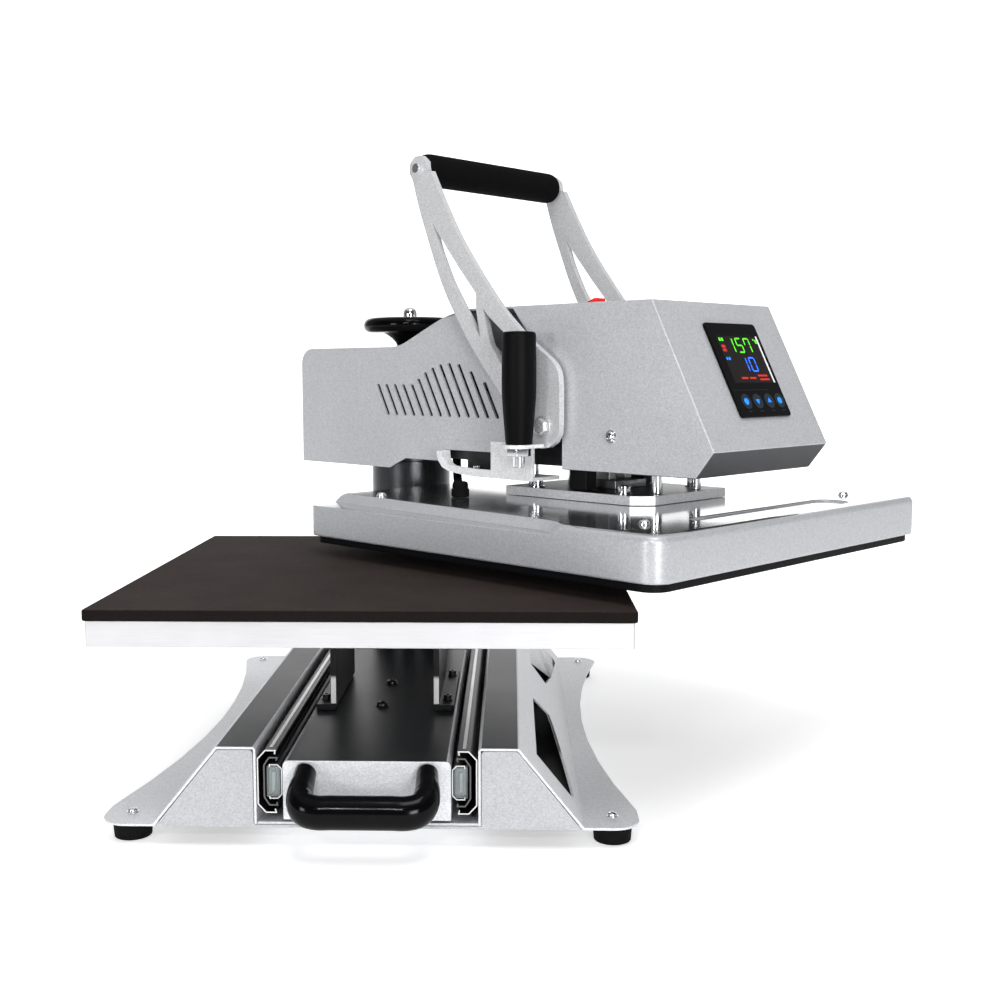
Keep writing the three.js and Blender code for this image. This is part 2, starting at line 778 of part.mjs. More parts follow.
// A bow handle that leans down and out from two legs on the drawer face.
function pullHandle() {
  const tilt = THREE.MathUtils.degToRad(pullTilt);
  const out = new THREE.Vector3(0, -Math.cos(tilt), -Math.sin(tilt));
  const normal = new THREE.Vector3().crossVectors(axisX, out).normalize();
  const root = new THREE.Vector3(0, carriageFront - baseSheet - fit, carriageTopHeight - pullMountDrop);
  const halfPath = [
    [pullHalfPitch, 0, pullLegHalfWidth, pullLegHalfHeight],
    [pullHalfPitch, pullReach / 5, pullLegHalfWidth, pullLegHalfHeight],
    [pullHalfPitch + pullBarHalfDepth / 4, pullReach / 2, (pullLegHalfWidth + pullBarHalfDepth) / 2,
      (pullLegHalfHeight + pullBarHalfHeight) / 2],
    [pullHalfWidth, pullReach * 3 / 4, pullBarHalfDepth, pullBarHalfHeight],
    [pullHalfWidth - pullBarHalfDepth / 3, pullReach - pullBarHalfDepth / 4, pullBarHalfDepth, pullBarHalfHeight],
    [pullHalfWidth - pullBarHalfDepth, pullReach, pullBarHalfDepth, pullBarHalfHeight],
  ];
  const stations = [...halfPath.map(([x, s, half, tall]) => [-x, s, half, tall]), ...halfPath.reverse()]
    .map(([x, s, half, tall]) => ({
      at: root.clone().addScaledVector(axisX, x).addScaledVector(out, s), half, tall,
    }));
  const bow = loft(stations, normal, 12);
  const wallPlane = carriageFront - baseSheet - fit;
  const span = pullHalfWidth + pullBarHalfDepth + overrun;
  return cut(bow, block(-span, span, wallPlane, wallPlane + pullReach, 0, baseHeight));
}

function platenBracket() {
  const inner = bracketPitch / 2 - bracketSheet / 2;
  const outer = inner + bracketSheet;
  const [low, high] = [carriageTopHeight + fit, platenBottom - fit];
  const profile = outline([
    [inner, low, bendRadius], [inner + bracketFootWidth, low], [inner + bracketFootWidth, low + bracketSheet],
    [outer, low + bracketSheet], [outer, high - bracketSheet], [inner + bracketShelfWidth, high - bracketSheet],
    [inner + bracketShelfWidth, high], [inner, high, bendRadius],
  ]);
  return prism('y', profile, -bracketFrontInset, bracketLength - bracketFrontInset, 1);
}

function addDrawer(press) {
  bothSides.forEach(([side, sign]) => {
    addPiece(press, `slide_middle_${side}`, mirrored(slideMiddle(), sign), darkSteel);
    addPiece(press, `slide_inner_${side}`, mirrored(slideInner(), sign), darkSteel);
    addPiece(press, `slide_buffer_${side}`, mirrored(slideBuffer(), sign), clear);
    addPiece(press, `platen_bracket_${side}`, mirrored(platenBracket(), sign), steel);
  });
  addPiece(press, 'drawer_carriage', carriage(), paint);
  addPiece(press, 'drawer_handle', pullHandle(), glossBlack);
  const platenHalf = platenSize / 2;
  addPiece(press, 'lower_platen', prism('z', rectangle(-platenHalf, platenHalf, -platenHalf, platenHalf,
    platenCornerRadius), platenBottom, platenBottom + platenThickness), aluminium);
  const padHalf = padSize / 2;
  addPiece(press, 'silicone_pad', prism('z', rectangle(-padHalf, padHalf, -padHalf, padHalf, padCornerRadius),
    workSurfaceHeight - padThickness, workSurfaceHeight), sponge);
}

// Swing post

const collarTop = housingBottom + fit + postCollarHeight;
const washerTop = collarTop + fit + washerThickness;
const sleeveBottom = washerTop + fit;
const railBottom = pivotHeight - railDrop;
const railTop = pivotHeight + railRise;
const sleeveTop = pivotHeight + diaphragmDrop;
const postTop = sleeveTop - fit;

function addPost(press) {
  const flangeBottom = floorTop + fit;
  const post = turned([
    [0, flangeBottom], [postFlangeRadius, flangeBottom],
    [postFlangeRadius, flangeBottom + postFlangeThickness], [postStemRadius, flangeBottom + postFlangeThickness],
    [postStemRadius, collarTop - postCollarHeight], [postCollarRadius, collarTop - postCollarHeight],
    [postCollarRadius, collarTop], [postRadius, collarTop], [postRadius, postTop], [0, postTop],
  ], 48);
  addPiece(press, 'swing_post', post.translate(0, armReach, 0), paint);
  const washer = ring(postCollarRadius, postRadius + fit, collarTop + fit, washerTop, 48);
  addPiece(press, 'thrust_washer', washer.translate(0, armReach, 0), steel);
}

// Arm. Its own frame has the post at the origin, and the head in front of it along -Y.

function armFrame() {
  const railOuter = railInnerHalfWidth + railThickness;
  const bridgeTop = pivotHeight + bridgeRise;
  const railOutline = outline([
    [-railFrontReach, railBottom], [railRearReach, railBottom], [railRearReach, railTop],
    [bridgeHalfLength, railTop], [bridgeHalfLength, bridgeTop], [-bridgeHalfLength, bridgeTop],
    [-bridgeHalfLength, railTop], [-railFrontReach, railTop, railThickness],
  ]);
  const bossEnd = housingHalfWidth - housingSheet - fit;
  const rails = bothSides.flatMap(([, sign]) => {
    const [near, far] = sign > 0 ? [railInnerHalfWidth, railOuter] : [-railOuter, -railInnerHalfWidth];
    const [bossNear, bossFar] = sign > 0 ? [railOuter - overrun, bossEnd] : [-bossEnd, overrun - railOuter];
    return [
      prism('x', railOutline, near, far),
      roundBar('x', bearingBossRadius, bossNear, bossFar, [-armReach, pivotHeight], 20),
      roundBar('x', shellBossRadius, bossNear, bossFar, [-controlBossReach, pivotHeight - controlBossDrop], 10),
      roundBar('x', shellBossRadius, bossNear, bossFar, [-rearBossReach, pivotHeight - rearBossDrop], 10),
      roundBar('x', shellBossRadius, bossNear, bossFar, [tailBossReach, pivotHeight - rearBossDrop], 10),
    ];
  });
  const across = railInnerHalfWidth + overrun;
  const crossTop = pivotHeight - crossPlateDrop + crossPlateThickness;
  const crossPlates = [-1, 1].map((end) => {
    const middle = -armReach + (end * guidePostPitchY) / 2;
    const plate = block(-across, across, middle - crossPlateLength / 2, middle + crossPlateLength / 2,
      crossTop - crossPlateThickness, crossTop);
    return cut(plate, ...[-1, 1].map((side) => roundBar('z', guidePostRadius + fit, crossTop - crossPlateThickness
      - overrun, crossTop + overrun, [(side * guidePostPitchX) / 2, middle], 16)));
  });
  const diaphragms = [sleeveBottom, sleeveTop - diaphragmThickness].map((low) => cut(
    block(-across, across, -diaphragmHalfLength, railRearReach, low, low + diaphragmThickness),
    roundBar('z', sleeveRadius - overrun, low - overrun, low + diaphragmThickness + overrun, [0, 0], 40),
  ));
  const bridge = cut(
    block(-across, across, -bridgeHalfLength, bridgeHalfLength, bridgeTop - bridgeThickness, bridgeTop),
    roundBar('z', spindleRadius + fit, bridgeTop - bridgeThickness - overrun, bridgeTop + overrun, [0, 0], 16),
  );
  const lugBottom = pivotHeight - swingBracketDrop + bracketPlate + fit;
  const lug = block(-railOuter, -railInnerHalfWidth, -lugReach - lugLength, -lugReach, lugBottom,
    railBottom + overrun);
  const sleeve = ring(sleeveRadius, postRadius + fit, sleeveBottom, sleeveTop, 40);
  const shaftHole = roundBar('x', shaftRadius + fit, -housingHalfWidth, housingHalfWidth, [-armReach, pivotHeight],
    24);
  return cut(join(sleeve, ...diaphragms, ...rails, ...crossPlates, bridge, lug), shaftHole);
}

// Side outline of the rear housing, as (y, z).
function rearHousingOutline() {
  const seamLow = pivotHeight + seamCornerRise;
  return outline([
    [housingRearReach, housingBottom],
    [housingRearReach, housingTailTop, housingCornerRadius],
    [-housingShoulderReach, housingTailTop, housingShoulderRadius],
    [-housingShoulderReach - housingShoulderLength, housingTop, housingCrownRadius],
    [-seamTopReach, housingTop],
    [-seamTopReach, housingTop - housingSheet],
    [leverSlotLength - seamTopReach, housingTop - housingSheet],
    [-seamReach, seamLow],
    [-seamReach, housingFrontBottom],
    [housingRearReach - housingTailLength - housingNotchLength, housingFrontBottom, housingNotchRadius],
    [housingRearReach - housingTailLength, housingBottom],
  ]);
}

function ventOutline(index) {
  const share = ventHeightShares[index];
  const bottom = [-ventFirstReach - index * ventPitch, pivotHeight + ventRise];
  const height = ventHeight * share;
  const top = [bottom[0] + height * ventSlope, bottom[1] + height];
  const half = ventWidth / 2;
  return outline([
    [bottom[0] - half, bottom[1], half / 2], [bottom[0] + half, bottom[1], half / 2],
    [top[0] + half, top[1], half / 2], [top[0] - half, top[1], half / 2],
  ]);
}

function rearHousing() {
  const half = housingHalfWidth;
  const shell = cut(
    prism('x', rearHousingOutline(), -half, half, 3),
    prism('x', hollowOutline(), housingSheet - half, half - housingSheet, 3),
  );
  const vents = Array.from({ length: ventCount }, (_, index) => prism('x', ventOutline(index), -half - overrun,
    half + overrun, 1));
  const hubHole = roundBar('z', wheelHubRadius + fit, housingTailTop - 2 * housingSheet, housingTailTop + overrun);
  const inletZ = pivotHeight;
  const inletHole = block(inletOffset - inletWidth / 2 - fit, inletOffset + inletWidth / 2 + fit,
    housingRearReach - housingSheet - overrun, housingRearReach + overrun,
    inletZ - inletHeight / 2 - fit, inletZ + inletHeight / 2 + fit);
  const bracketNotch = block(-half - overrun, 2 * housingSheet - half, -seamReach - overrun, -notchRearReach,
    housingFrontBottom - overrun, housingFrontBottom + notchHeight);
  return cut(shell, ...vents, hubHole, inletHole, bracketNotch);
}

// The rear housing's hollow is open below and in front.
function hollowOutline() {
  const top = housingTop - housingSheet;
  const tailTop = housingTailTop - housingSheet;
  return outline([
    [housingRearReach - housingSheet, housingBottom - overrun],
    [housingRearReach - housingSheet, tailTop, housingCornerRadius - housingSheet],
    [-housingShoulderReach + housingSheet / 2, tailTop, housingShoulderRadius],
    [-housingShoulderReach - housingShoulderLength + housingSheet / 2, top, housingCrownRadius],
    [-seamReach - overrun, top],
    [-seamReach - overrun, housingBottom - overrun],
  ]);
}

// Side outline of the control box. Its rear edge follows the lever plate in front of it.
function controlBoxOutline(inset) {
  const top = housingTop - inset;
  const bottom = housingFrontBottom - (inset > 0 ? overrun : 0);
  const frontZ = pivotHeight - boxFrontDrop;
  const rear = inset > 0 ? overrun : 0;
  return outline([
    [-seamTopReach - fit + rear, top],
    [-boxTopReach + inset / 2, top],
    [-boxFrontReach + inset, frontZ],
    [-boxFrontReach + boxChamferLength + inset, bottom],
    [-seamCornerReach + rear, bottom],
    [-seamCornerReach + rear, pivotHeight + seamCornerRise, seamCornerRadius],
    [-seamTopReach - fit + rear, top - housingSheet - inset],
  ]);
}

// Places a geometry drawn flat, with x across and y up the panel, onto the sloping panel.
function onPanel(geometry) {
  const run = boxFrontReach - boxTopReach;
  const drop = housingRise + boxFrontDrop;
  const up = new THREE.Vector3(0, run, drop).normalize();
  const out = new THREE.Vector3().crossVectors(axisX, up);
  const frame = new THREE.Matrix4().makeBasis(axisX, up, out);
  frame.setPosition(0, -boxTopReach, housingTop);
  return geometry.applyMatrix4(frame);
}

const bezelTop = -bezelTopInset;
const bezelBottom = bezelTop - bezelLength;
const bezelLeft = bezelOffset - bezelWidth / 2;
const bezelRight = bezelOffset + bezelWidth / 2;
const windowTop = bezelTop - windowTopInset;
const windowLeft = bezelLeft + windowSideInset;

function controlBox() {
  const half = housingHalfWidth;
  const shell = cut(
    prism('x', controlBoxOutline(0), -half, half, 3),
    prism('x', controlBoxOutline(housingSheet), housingSheet - half, half - housingSheet, 3),
  );
  const panelHole = onPanel(block(bezelLeft + bezelRim - fit, bezelRight - bezelRim + fit,
    bezelBottom + bezelRim - fit, bezelTop - bezelRim + fit, -panelCutDepth, overrun));
  const switchHole = block(switchRim - switchWidth / 2 - fit, switchWidth / 2 - switchRim + fit,
    -switchReach - switchLength / 2 + switchRim - fit, -switchReach + switchLength / 2 - switchRim + fit,
    housingTop - 2 * housingSheet, housingTop + overrun);
  return cut(shell, panelHole, switchHole);
}

function controller() {
  const bezel = prism('z', rectangle(bezelLeft, bezelRight, bezelBottom, bezelTop, bezelCornerRadius), fit,
    fit + bezelThickness);
  const body = block(bezelLeft + bezelRim, bezelRight - bezelRim, bezelBottom + bezelRim, bezelTop - bezelRim,
    -controllerDepth, fit + overrun);
  const recess = block(windowLeft, windowLeft + windowWidth, windowTop - windowLength, windowTop,
    fit + bezelThickness - screenDepth - fit, bezelThickness + overrun);
  return onPanel(cut(join(bezel, body), recess));
}

function displayScreen() {
  const top = fit + bezelThickness - fit;
  return onPanel(block(windowLeft + fit, windowLeft + windowWidth - fit, windowTop - windowLength + fit,
    windowTop - fit, top - screenDepth + fit, top));
}

function switchHousing() {
  const [halfX, halfY] = [switchWidth / 2, switchLength / 2];
  const flange = prism('z', rectangle(-halfX, halfX, -halfY, halfY, switchRim), fit, fit + switchFlange);
  const body = block(switchRim - halfX, halfX - switchRim, switchRim - halfY, halfY - switchRim, -switchDepth,
    fit + switchFlange / 2);
  const pocketX = rockerWidth / 2 + fit;
  const pocketY = rockerLength / 2 + 3 * fit;
  const pocket = block(-pocketX, pocketX, -pocketY - fit, pocketY + fit, -rockerDepth - rockerSink - 2 * fit,
    switchFlange + overrun);
  return cut(join(flange, body), pocket).translate(0, -switchReach, housingTop);
}

function rocker() {
  const half = rockerLength / 2;
  const shape = outline([
    [half, rockerRise], [0, rockerRise - rockerDish], [-half, rockerRise],
    [-half, -rockerDish], [-half / 2, -rockerDepth + rockerDish / 2], [0, -rockerDepth],
    [half / 2, -rockerDepth + rockerDish / 2], [half, -rockerDish],
  ]);
  return prism('x', shape, -rockerWidth / 2, rockerWidth / 2);
}

function powerInlet() {
  const [halfX, halfZ] = [inletWidth / 2, inletHeight / 2];
  const rear = housingRearReach;
  const flange = block(-halfX - inletRim, halfX + inletRim, rear + fit, rear + fit + inletFlange, -halfZ - inletRim / 2,
    halfZ + inletRim / 2);
  const body = block(-halfX, halfX, rear - inletDepth, rear + fit + overrun, -halfZ, halfZ);
  const mouth = block(inletWall - halfX, halfX - inletWall, rear - inletDepth + inletWall,
    rear + 2 * inletFlange, inletWall - halfZ, halfZ - inletWall);
  const blades = [-1, 0, 1].map((place) => block(place * bladePitch - bladeThickness / 2,
    place * bladePitch + bladeThickness / 2, rear - inletDepth + overrun,
    rear - inletDepth + inletWall + bladeLength, -bladeWidth / 2, bladeWidth / 2));
  return join(cut(join(flange, body), mouth), ...blades).translate(inletOffset, 0, pivotHeight);
}

// A strip of the tray, curling up at its rear end, from its outer edge to its inner edge.
function trayStrip(depth, outer, inner) {
  const low = pivotHeight - swingBracketDrop;
  const under = trayShares.map(([along, up]) => [along * trayRearSpan - swingBracketStep, low + up * trayRise]);
  const over = trayShares.map(([, up], index) => [under[index][0] - depth * up, under[index][1] + depth * (1 - up)]);
  return prism('x', outline([...under, ...over.reverse()]), -outer, -inner);
}

function swingBracket() {
  const low = pivotHeight - swingBracketDrop;
  const plate = bracketPlate;
  const high = low + swingBracketHeight;
  const trayInner = housingHalfWidth + fit;
  const shelf = prism('z', outline([
    [-bracketOuterHalf, -swingBracketFront], [-bracketInnerHalf, -swingBracketFront],
    [-bracketInnerHalf, -swingBracketRear], [-trayInner, -swingBracketRear],
    [-trayInner, -swingBracketStep], [-bracketOuterHalf, -swingBracketStep],
  ]), low, low + plate);
  const tower = block(-bracketOuterHalf, plate - bracketOuterHalf, -swingBracketFront, overrun - swingBracketStep,
    low + plate / 2, high);
  const tab = prism('z', outline([
    [-bracketOuterHalf - tabWidth, -gripReach - tabLength / 2, tabEndRadius],
    [plate - bracketOuterHalf, -gripReach - tabLength / 2], [plate - bracketOuterHalf, tabLength / 2 - gripReach],
    [-bracketOuterHalf - tabWidth, tabLength / 2 - gripReach, tabEndRadius],
  ]), high - plate, high);
  const hole = roundBar('z', studRadius + fit, high - 2 * plate, high + overrun, [-gripOffset, -gripReach], 16);
  const tray = trayStrip(plate, bracketOuterHalf, trayInner);
  const lip = trayStrip(bracketLipHeight, bracketOuterHalf, bracketOuterHalf - plate);
  return cut(join(shelf, tray, lip, tower, tab), hole);
}

function swingGrip() {
  const base = pivotHeight - swingBracketDrop + swingBracketHeight + fit;
  const top = base + gripLength;
  const bore = studRadius + fit;
  const boreTop = base + studRise + fit;
  return turned([
    [bore, base], [gripBottomRadius, base], [(gripBottomRadius + gripWaistRadius) / 2, base + gripLength / 5],
    [gripWaistRadius, base + gripLength / 2], [gripTopRadius, top - gripEdgeRadius],
    [gripTopRadius - gripEdgeRadius, top], [0, top + gripEdgeRadius / 4], [0, boreTop], [bore, boreTop],
    [bore, base],
  ], 24).translate(-gripOffset, -gripReach, 0);
}

function gripStud() {
  const tabUnder = pivotHeight - swingBracketDrop + swingBracketHeight - bracketPlate;
  const nutTop = tabUnder - fit;
  const stud = roundBar('z', studRadius, tabUnder - studDrop, tabUnder + bracketPlate + studRise, [0, 0], 16);
  const nut = roundBar('z', swingNutRadius, nutTop - swingNutHeight, nutTop, [0, 0], 6);
  return join(stud, nut).translate(-gripOffset, -gripReach, 0);
}

function addArm(arm) {
  addPiece(arm, 'arm_frame', armFrame(), darkSteel);
  addPiece(arm, 'rear_housing', rearHousing(), paint);
  addPiece(arm, 'control_box', controlBox(), paint);
  addPiece(arm, 'controller', controller(), glossBlack);
  addPiece(arm, 'display_screen', displayScreen(), glass);
  addPiece(arm, 'switch_housing', switchHousing(), mattBlack);
  addPiece(arm, 'power_inlet', powerInlet(), mattBlack);
  addPiece(arm, 'swing_bracket', swingBracket(), steel);
  addPiece(arm, 'swing_grip', swingGrip(), glossBlack);
  addPiece(arm, 'grip_stud', gripStud(), chrome);
  const rockerMesh = addPiece(arm, 'power_rocker', rocker(), red);
  rockerMesh.position.set(0, -switchReach, housingTop - rockerSink);
  rockerMesh.rotation.x = THREE.MathUtils.degToRad(-rockerTilt);
}

// Pressure screw

function addPressureScrew(arm) {
  const hubBottom = pivotHeight + wheelHubRise;
  const rimBottom = pivotHeight + wheelRimRise;
  const rimTop = rimBottom + wheelRimHeight;
  const bore = spindleRadius + fit;
  const wheel = turned([
    [bore, housingTailTop + fit], [wheelHubRadius, housingTailTop + fit], [wheelHubRadius, hubBottom],
    [wheelConeRadius, rimBottom], [wheelRadius - wheelEdgeRadius, rimBottom],
    [wheelRadius - wheelEdgeRadius / 4, rimBottom + wheelEdgeRadius / 2],
    [wheelRadius, (rimBottom + rimTop) / 2],
    [wheelRadius - wheelEdgeRadius / 4, rimTop - wheelEdgeRadius / 2], [wheelRadius - wheelEdgeRadius, rimTop],
    [wheelRimFace, rimTop - wheelDish / 2], [wheelHubRadius, rimTop - wheelDish],
    [bore, rimTop - wheelDish], [bore, housingTailTop + fit],
  ], 48);
  addPiece(arm, 'handwheel', wheel, glossBlack);
  const bridgeTop = pivotHeight + bridgeRise;
  const collarBottom = bridgeTop + fit;
  const spindleTop = rimTop + capNutHexHeight;
  const nutTop = bridgeTop - bridgeThickness - fit;
  const screw = turned([
    [0, sleeveTop + screwDrop], [screwRadius, sleeveTop + screwDrop], [screwRadius, nutTop],
    [spindleRadius, nutTop], [spindleRadius, collarBottom], [screwCollarRadius, collarBottom],
    [screwCollarRadius, collarBottom + screwCollarHeight], [spindleRadius, collarBottom + screwCollarHeight],
    [spindleRadius, spindleTop], [0, spindleTop],
  ], 24);
  addPiece(arm, 'pressure_screw', screw, steel);
  const hexBottom = rimTop - wheelDish + fit;
  const hexTop = hexBottom + capNutHexHeight;
  const dome = turned([
    [0, hexTop - overrun], [capNutDomeRadius, hexTop - overrun], [capNutDomeRadius, hexTop],
    [capNutDomeRadius * Math.cos(Math.PI / 6), hexTop + capNutDomeHeight / 2],
    [capNutDomeRadius / 2, hexTop + capNutDomeHeight * Math.cos(Math.PI / 6)], [0, hexTop + capNutDomeHeight],
  ], 18);
  const nut = join(roundBar('z', capNutRadius, hexBottom, hexTop, [0, 0], 6), dome);
  const boreTop = spindleTop + fit;
  addPiece(arm, 'acorn_nut', cut(nut, roundBar('z', bore, hexBottom - overrun, boreTop, [0, 0], 12)), chrome);
  const travelBottom = sleeveTop + travelNutRise;
  const halfWidth = railInnerHalfWidth - fit;
  const travelNut = cut(
    block(-halfWidth, halfWidth, -travelNutLength / 2, travelNutLength / 2, travelBottom,
      travelBottom + travelNutThickness),
    roundBar('z', screwRadius + fit, travelBottom - overrun, travelBottom + travelNutThickness + overrun),
  );
  addPiece(arm, 'pressure_nut', travelNut, steel);
}

// Lever. Drawn upright from its pivot at the origin, front towards -Y, and then leaned back.

function shareCurve(shares) {
  return shares.map(([along, across]) => new THREE.Vector2(-across * leverLength, along * leverLength));
}

// A slot outline from shares of the lever's length: along it, across it and the corner's radius.
function slotOutline(shares) {
  return outline(shares.map(([along, across, radius = 0]) => [
    -across * leverLength, along * leverLength, radius * leverLength,
  ]));
}

function leverPlate() {
  const front = shareCurve(leverFrontShares);
  const rear = shareCurve(leverRearShares);
  const shape = new THREE.Shape();
  shape.moveTo(front[0].x, front[0].y);
  shape.splineThru(front.slice(1));
  const tip = new THREE.Vector2(0, leverLength);
  const tipStart = front.at(-1).clone().sub(tip).angle();
  const tipEnd = rear[0].clone().sub(tip).angle();
  shape.absarc(tip.x, tip.y, leverTipRadius, tipStart, tipEnd, true);
  shape.splineThru(rear.slice(0, -1));
  const hubStart = rear.at(-1).angle();
  const hubEnd = front[0].angle();
  shape.absarc(0, 0, leverHubRadius, hubStart, hubEnd, true);
  shape.closePath();
  const half = leverPlateThickness / 2;
  const slots = [longSlotShares, shortSlotShares].map((shares) => prism('x', slotOutline(shares),
    -half - overrun, half + overrun, 2));
  return cut(
    prism('x', shape, -half, half, 3),
    ...slots,
    roundBar('x', shaftEndRadius + fit, -half - overrun, half + overrun, [0, 0], 16),
    roundBar('x', gripRodEndRadius + fit, -half - overrun, half + overrun, [0, leverLength], 12),
  );
}

const leverPlateMiddle = leverPlateInset + leverPlateThickness / 2;
const leverOuter = leverPlateInset + leverPlateThickness;

function crankedShaft() {
  const toCrank = THREE.MathUtils.degToRad(leverPullAngle - leverBackAngle);
  const pin = [-crankRadius * Math.sin(toCrank), -crankRadius * Math.cos(toCrank)];
  const webNear = linkThickness / 2 + sideClearance;
  const webFar = webNear + crankWebThickness;
  const end = leverPlateInset - fit;
  const boltStart = leverPlateInset + fit;
  const parts = bothSides.flatMap(([, sign]) => {
    const span = (from, to) => (sign > 0 ? [from, to] : [-to, -from]);
    return [
      roundBar('x', shaftRadius, ...span(webFar - overrun, end), [0, 0], 24),
      roundBar('x', shaftEndRadius, ...span(end - overrun, leverOuter - fit), [0, 0], 16),
      prism('x', crankWebOutline(pin), ...span(webNear, webFar), 3),
    ];
  });
  const crankPin = roundBar('x', crankPinRadius, -webNear - overrun, webNear + overrun, pin, 16);
  const tapped = bothSides.map(([, sign]) => roundBar('x', shaftEndRadius / 2,
    ...(sign > 0 ? [boltStart, leverOuter] : [-leverOuter, -boltStart]), [0, 0], 8));
  return cut(join(crankPin, ...parts), ...tapped);
}

// A web round the shaft and the crank pin, straight between the two round ends.
function crankWebOutline([pinY, pinZ]) {
  const toPin = Math.atan2(pinZ, pinY);
  const reach = Math.hypot(pinY, pinZ);
  const tangent = Math.acos((crankWebHubRadius - crankWebEndRadius) / reach);
  const shape = new THREE.Shape();
  shape.absarc(0, 0, crankWebHubRadius, toPin + tangent, toPin - tangent, false);
  shape.absarc(pinY, pinZ, crankWebEndRadius, toPin - tangent, toPin + tangent, false);
  shape.closePath();
  return shape;
}

function pivotBolt() {
  const head = roundBar('x', pivotHeadRadius, leverOuter + fit + pivotWasherThickness - fit / 2,
    leverOuter + fit + pivotWasherThickness + pivotHeadHeight, [0, 0], 12);
  const washer = roundBar('x', pivotWasherRadius, leverOuter + fit, leverOuter + fit + pivotWasherThickness, [0, 0],
    20);
  const shank = roundBar('x', shaftEndRadius / 2 - fit, leverPlateInset + 2 * fit, leverOuter + overrun, [0, 0], 8);
  return join(head, washer, shank);
}

function gripRod() {
  const end = leverPlateInset - fit;
  const parts = [roundBar('x', gripRodRadius, -end, end, [0, leverLength], 20),
    roundBar('x', gripRodEndRadius, -leverOuter - overrun, leverOuter + overrun, [0, leverLength], 12)];
  bothSides.forEach(([, sign]) => {
    const span = [leverOuter + fit, leverOuter + fit + gripBoltHeight];
    const [from, to] = sign > 0 ? span : [-span[1], -span[0]];
    parts.push(roundBar('x', gripBoltRadius, from, to, [0, leverLength], 12));
  });
  return join(...parts);
}

function foamGrip() {
  const end = leverPlateInset - fit;
  const bore = gripRodRadius + fit;
  const profile = [[bore, -end], [foamRadius - foamEdgeRadius / 2, -end], [foamRadius, foamEdgeRadius - end],
    [foamRadius, end - foamEdgeRadius], [foamRadius - foamEdgeRadius / 2, end], [bore, end], [bore, -end]];
  return turned(profile, 24).rotateY(Math.PI / 2).translate(0, 0, leverLength);
}

function addLever(arm) {
  const lever = new THREE.Group();
  lever.position.set(0, -armReach, pivotHeight);
  lever.rotation.x = THREE.MathUtils.degToRad(-leverBackAngle);
  arm.add(lever);
  const plate = leverPlate();
  bothSides.forEach(([side, sign]) => {
    addPiece(lever, `lever_plate_${side}`, plate.clone().translate(sign * leverPlateMiddle, 0, 0), paint);
    addPiece(lever, `pivot_bolt_${side}`, mirrored(pivotBolt(), sign), chrome);
  });
  addPiece(lever, 'lever_shaft', crankedShaft(), steel);
  addPiece(lever, 'grip_rod', gripRod(), chrome);
  addPiece(lever, 'lever_grip', foamGrip(), mattBlack);
}

// Toggle link. Its lower eye turns on the clevis pin; its upper eye runs loose on the crank pin.

function toggleLink() {
  const lean = Math.asin((crankRadius * pivotSine) / linkLength);
  const top = [-linkLength * Math.sin(lean), linkLength * Math.cos(lean)];
  const toTop = Math.atan2(top[1], top[0]);
  const tangent = Math.acos((linkLowerRadius - linkUpperRadius) / linkLength);
  const shape = new THREE.Shape();
  shape.absarc(0, 0, linkLowerRadius, toTop + tangent, toTop - tangent, false);
  shape.absarc(top[0], top[1], linkUpperRadius, toTop - tangent, toTop + tangent, false);
  shape.closePath();
  const half = linkThickness / 2;
  const link = cut(
    prism('x', shape, -half, half, 8),
    roundBar('x', clevisPinRadius + fit, -half - overrun, half + overrun, [0, 0], 20),
    roundBar('x', crankPinRadius + openPivotClearance, -half - overrun, half + overrun, top, 24),
  );
  return link.translate(0, -armReach, clevisPinZ);
}

// Heated head

function clevis() {
  const low = plateTop + fit;
  const near = linkThickness / 2 + sideClearance;
  const far = near + clevisEarThickness;
  const base = block(-clevisBaseWidth / 2, clevisBaseWidth / 2, -clevisBaseLength / 2, clevisBaseLength / 2, low,
    low + clevisBaseHeight);
  const earOutline = outline([
    [-clevisEarRadius, low], [clevisEarRadius, low],
    [clevisEarRadius, clevisPinZ + clevisEarRadius, clevisEarRadius / 2],
    [-clevisEarRadius, clevisPinZ + clevisEarRadius, clevisEarRadius / 2],
  ]);
  const pin = roundBar('x', clevisPinRadius, -near - overrun, near + overrun, [0, clevisPinZ], 20);
  return join(base, prism('x', earOutline, near, far), prism('x', earOutline, -far, -near), pin)
    .translate(0, -armReach, 0);
}

// Plan of one side's pressed ledge, for the left side, about the head's centre.
function ledgePlan() {
  const half = coverSize / 2;
  const rear = half + overrun * ledgeSlope;
  const shape = new THREE.Shape();
  const edge = (width) => -half + width - ledgeSlope;
  shape.moveTo(-rear, rear);
  shape.lineTo(-rear, -ledgeFrontInset - ledgeFrontWidth);
  shape.lineTo(-half, -ledgeFrontInset - ledgeFrontWidth / 2);
  shape.quadraticCurveTo(edge(ledgeFrontWidth), -ledgeFrontInset, edge(ledgeFrontWidth), -ledgeNoseInset);
  shape.lineTo(edge(ledgeRearWidth), rear);
  shape.closePath();
  return shape;
}

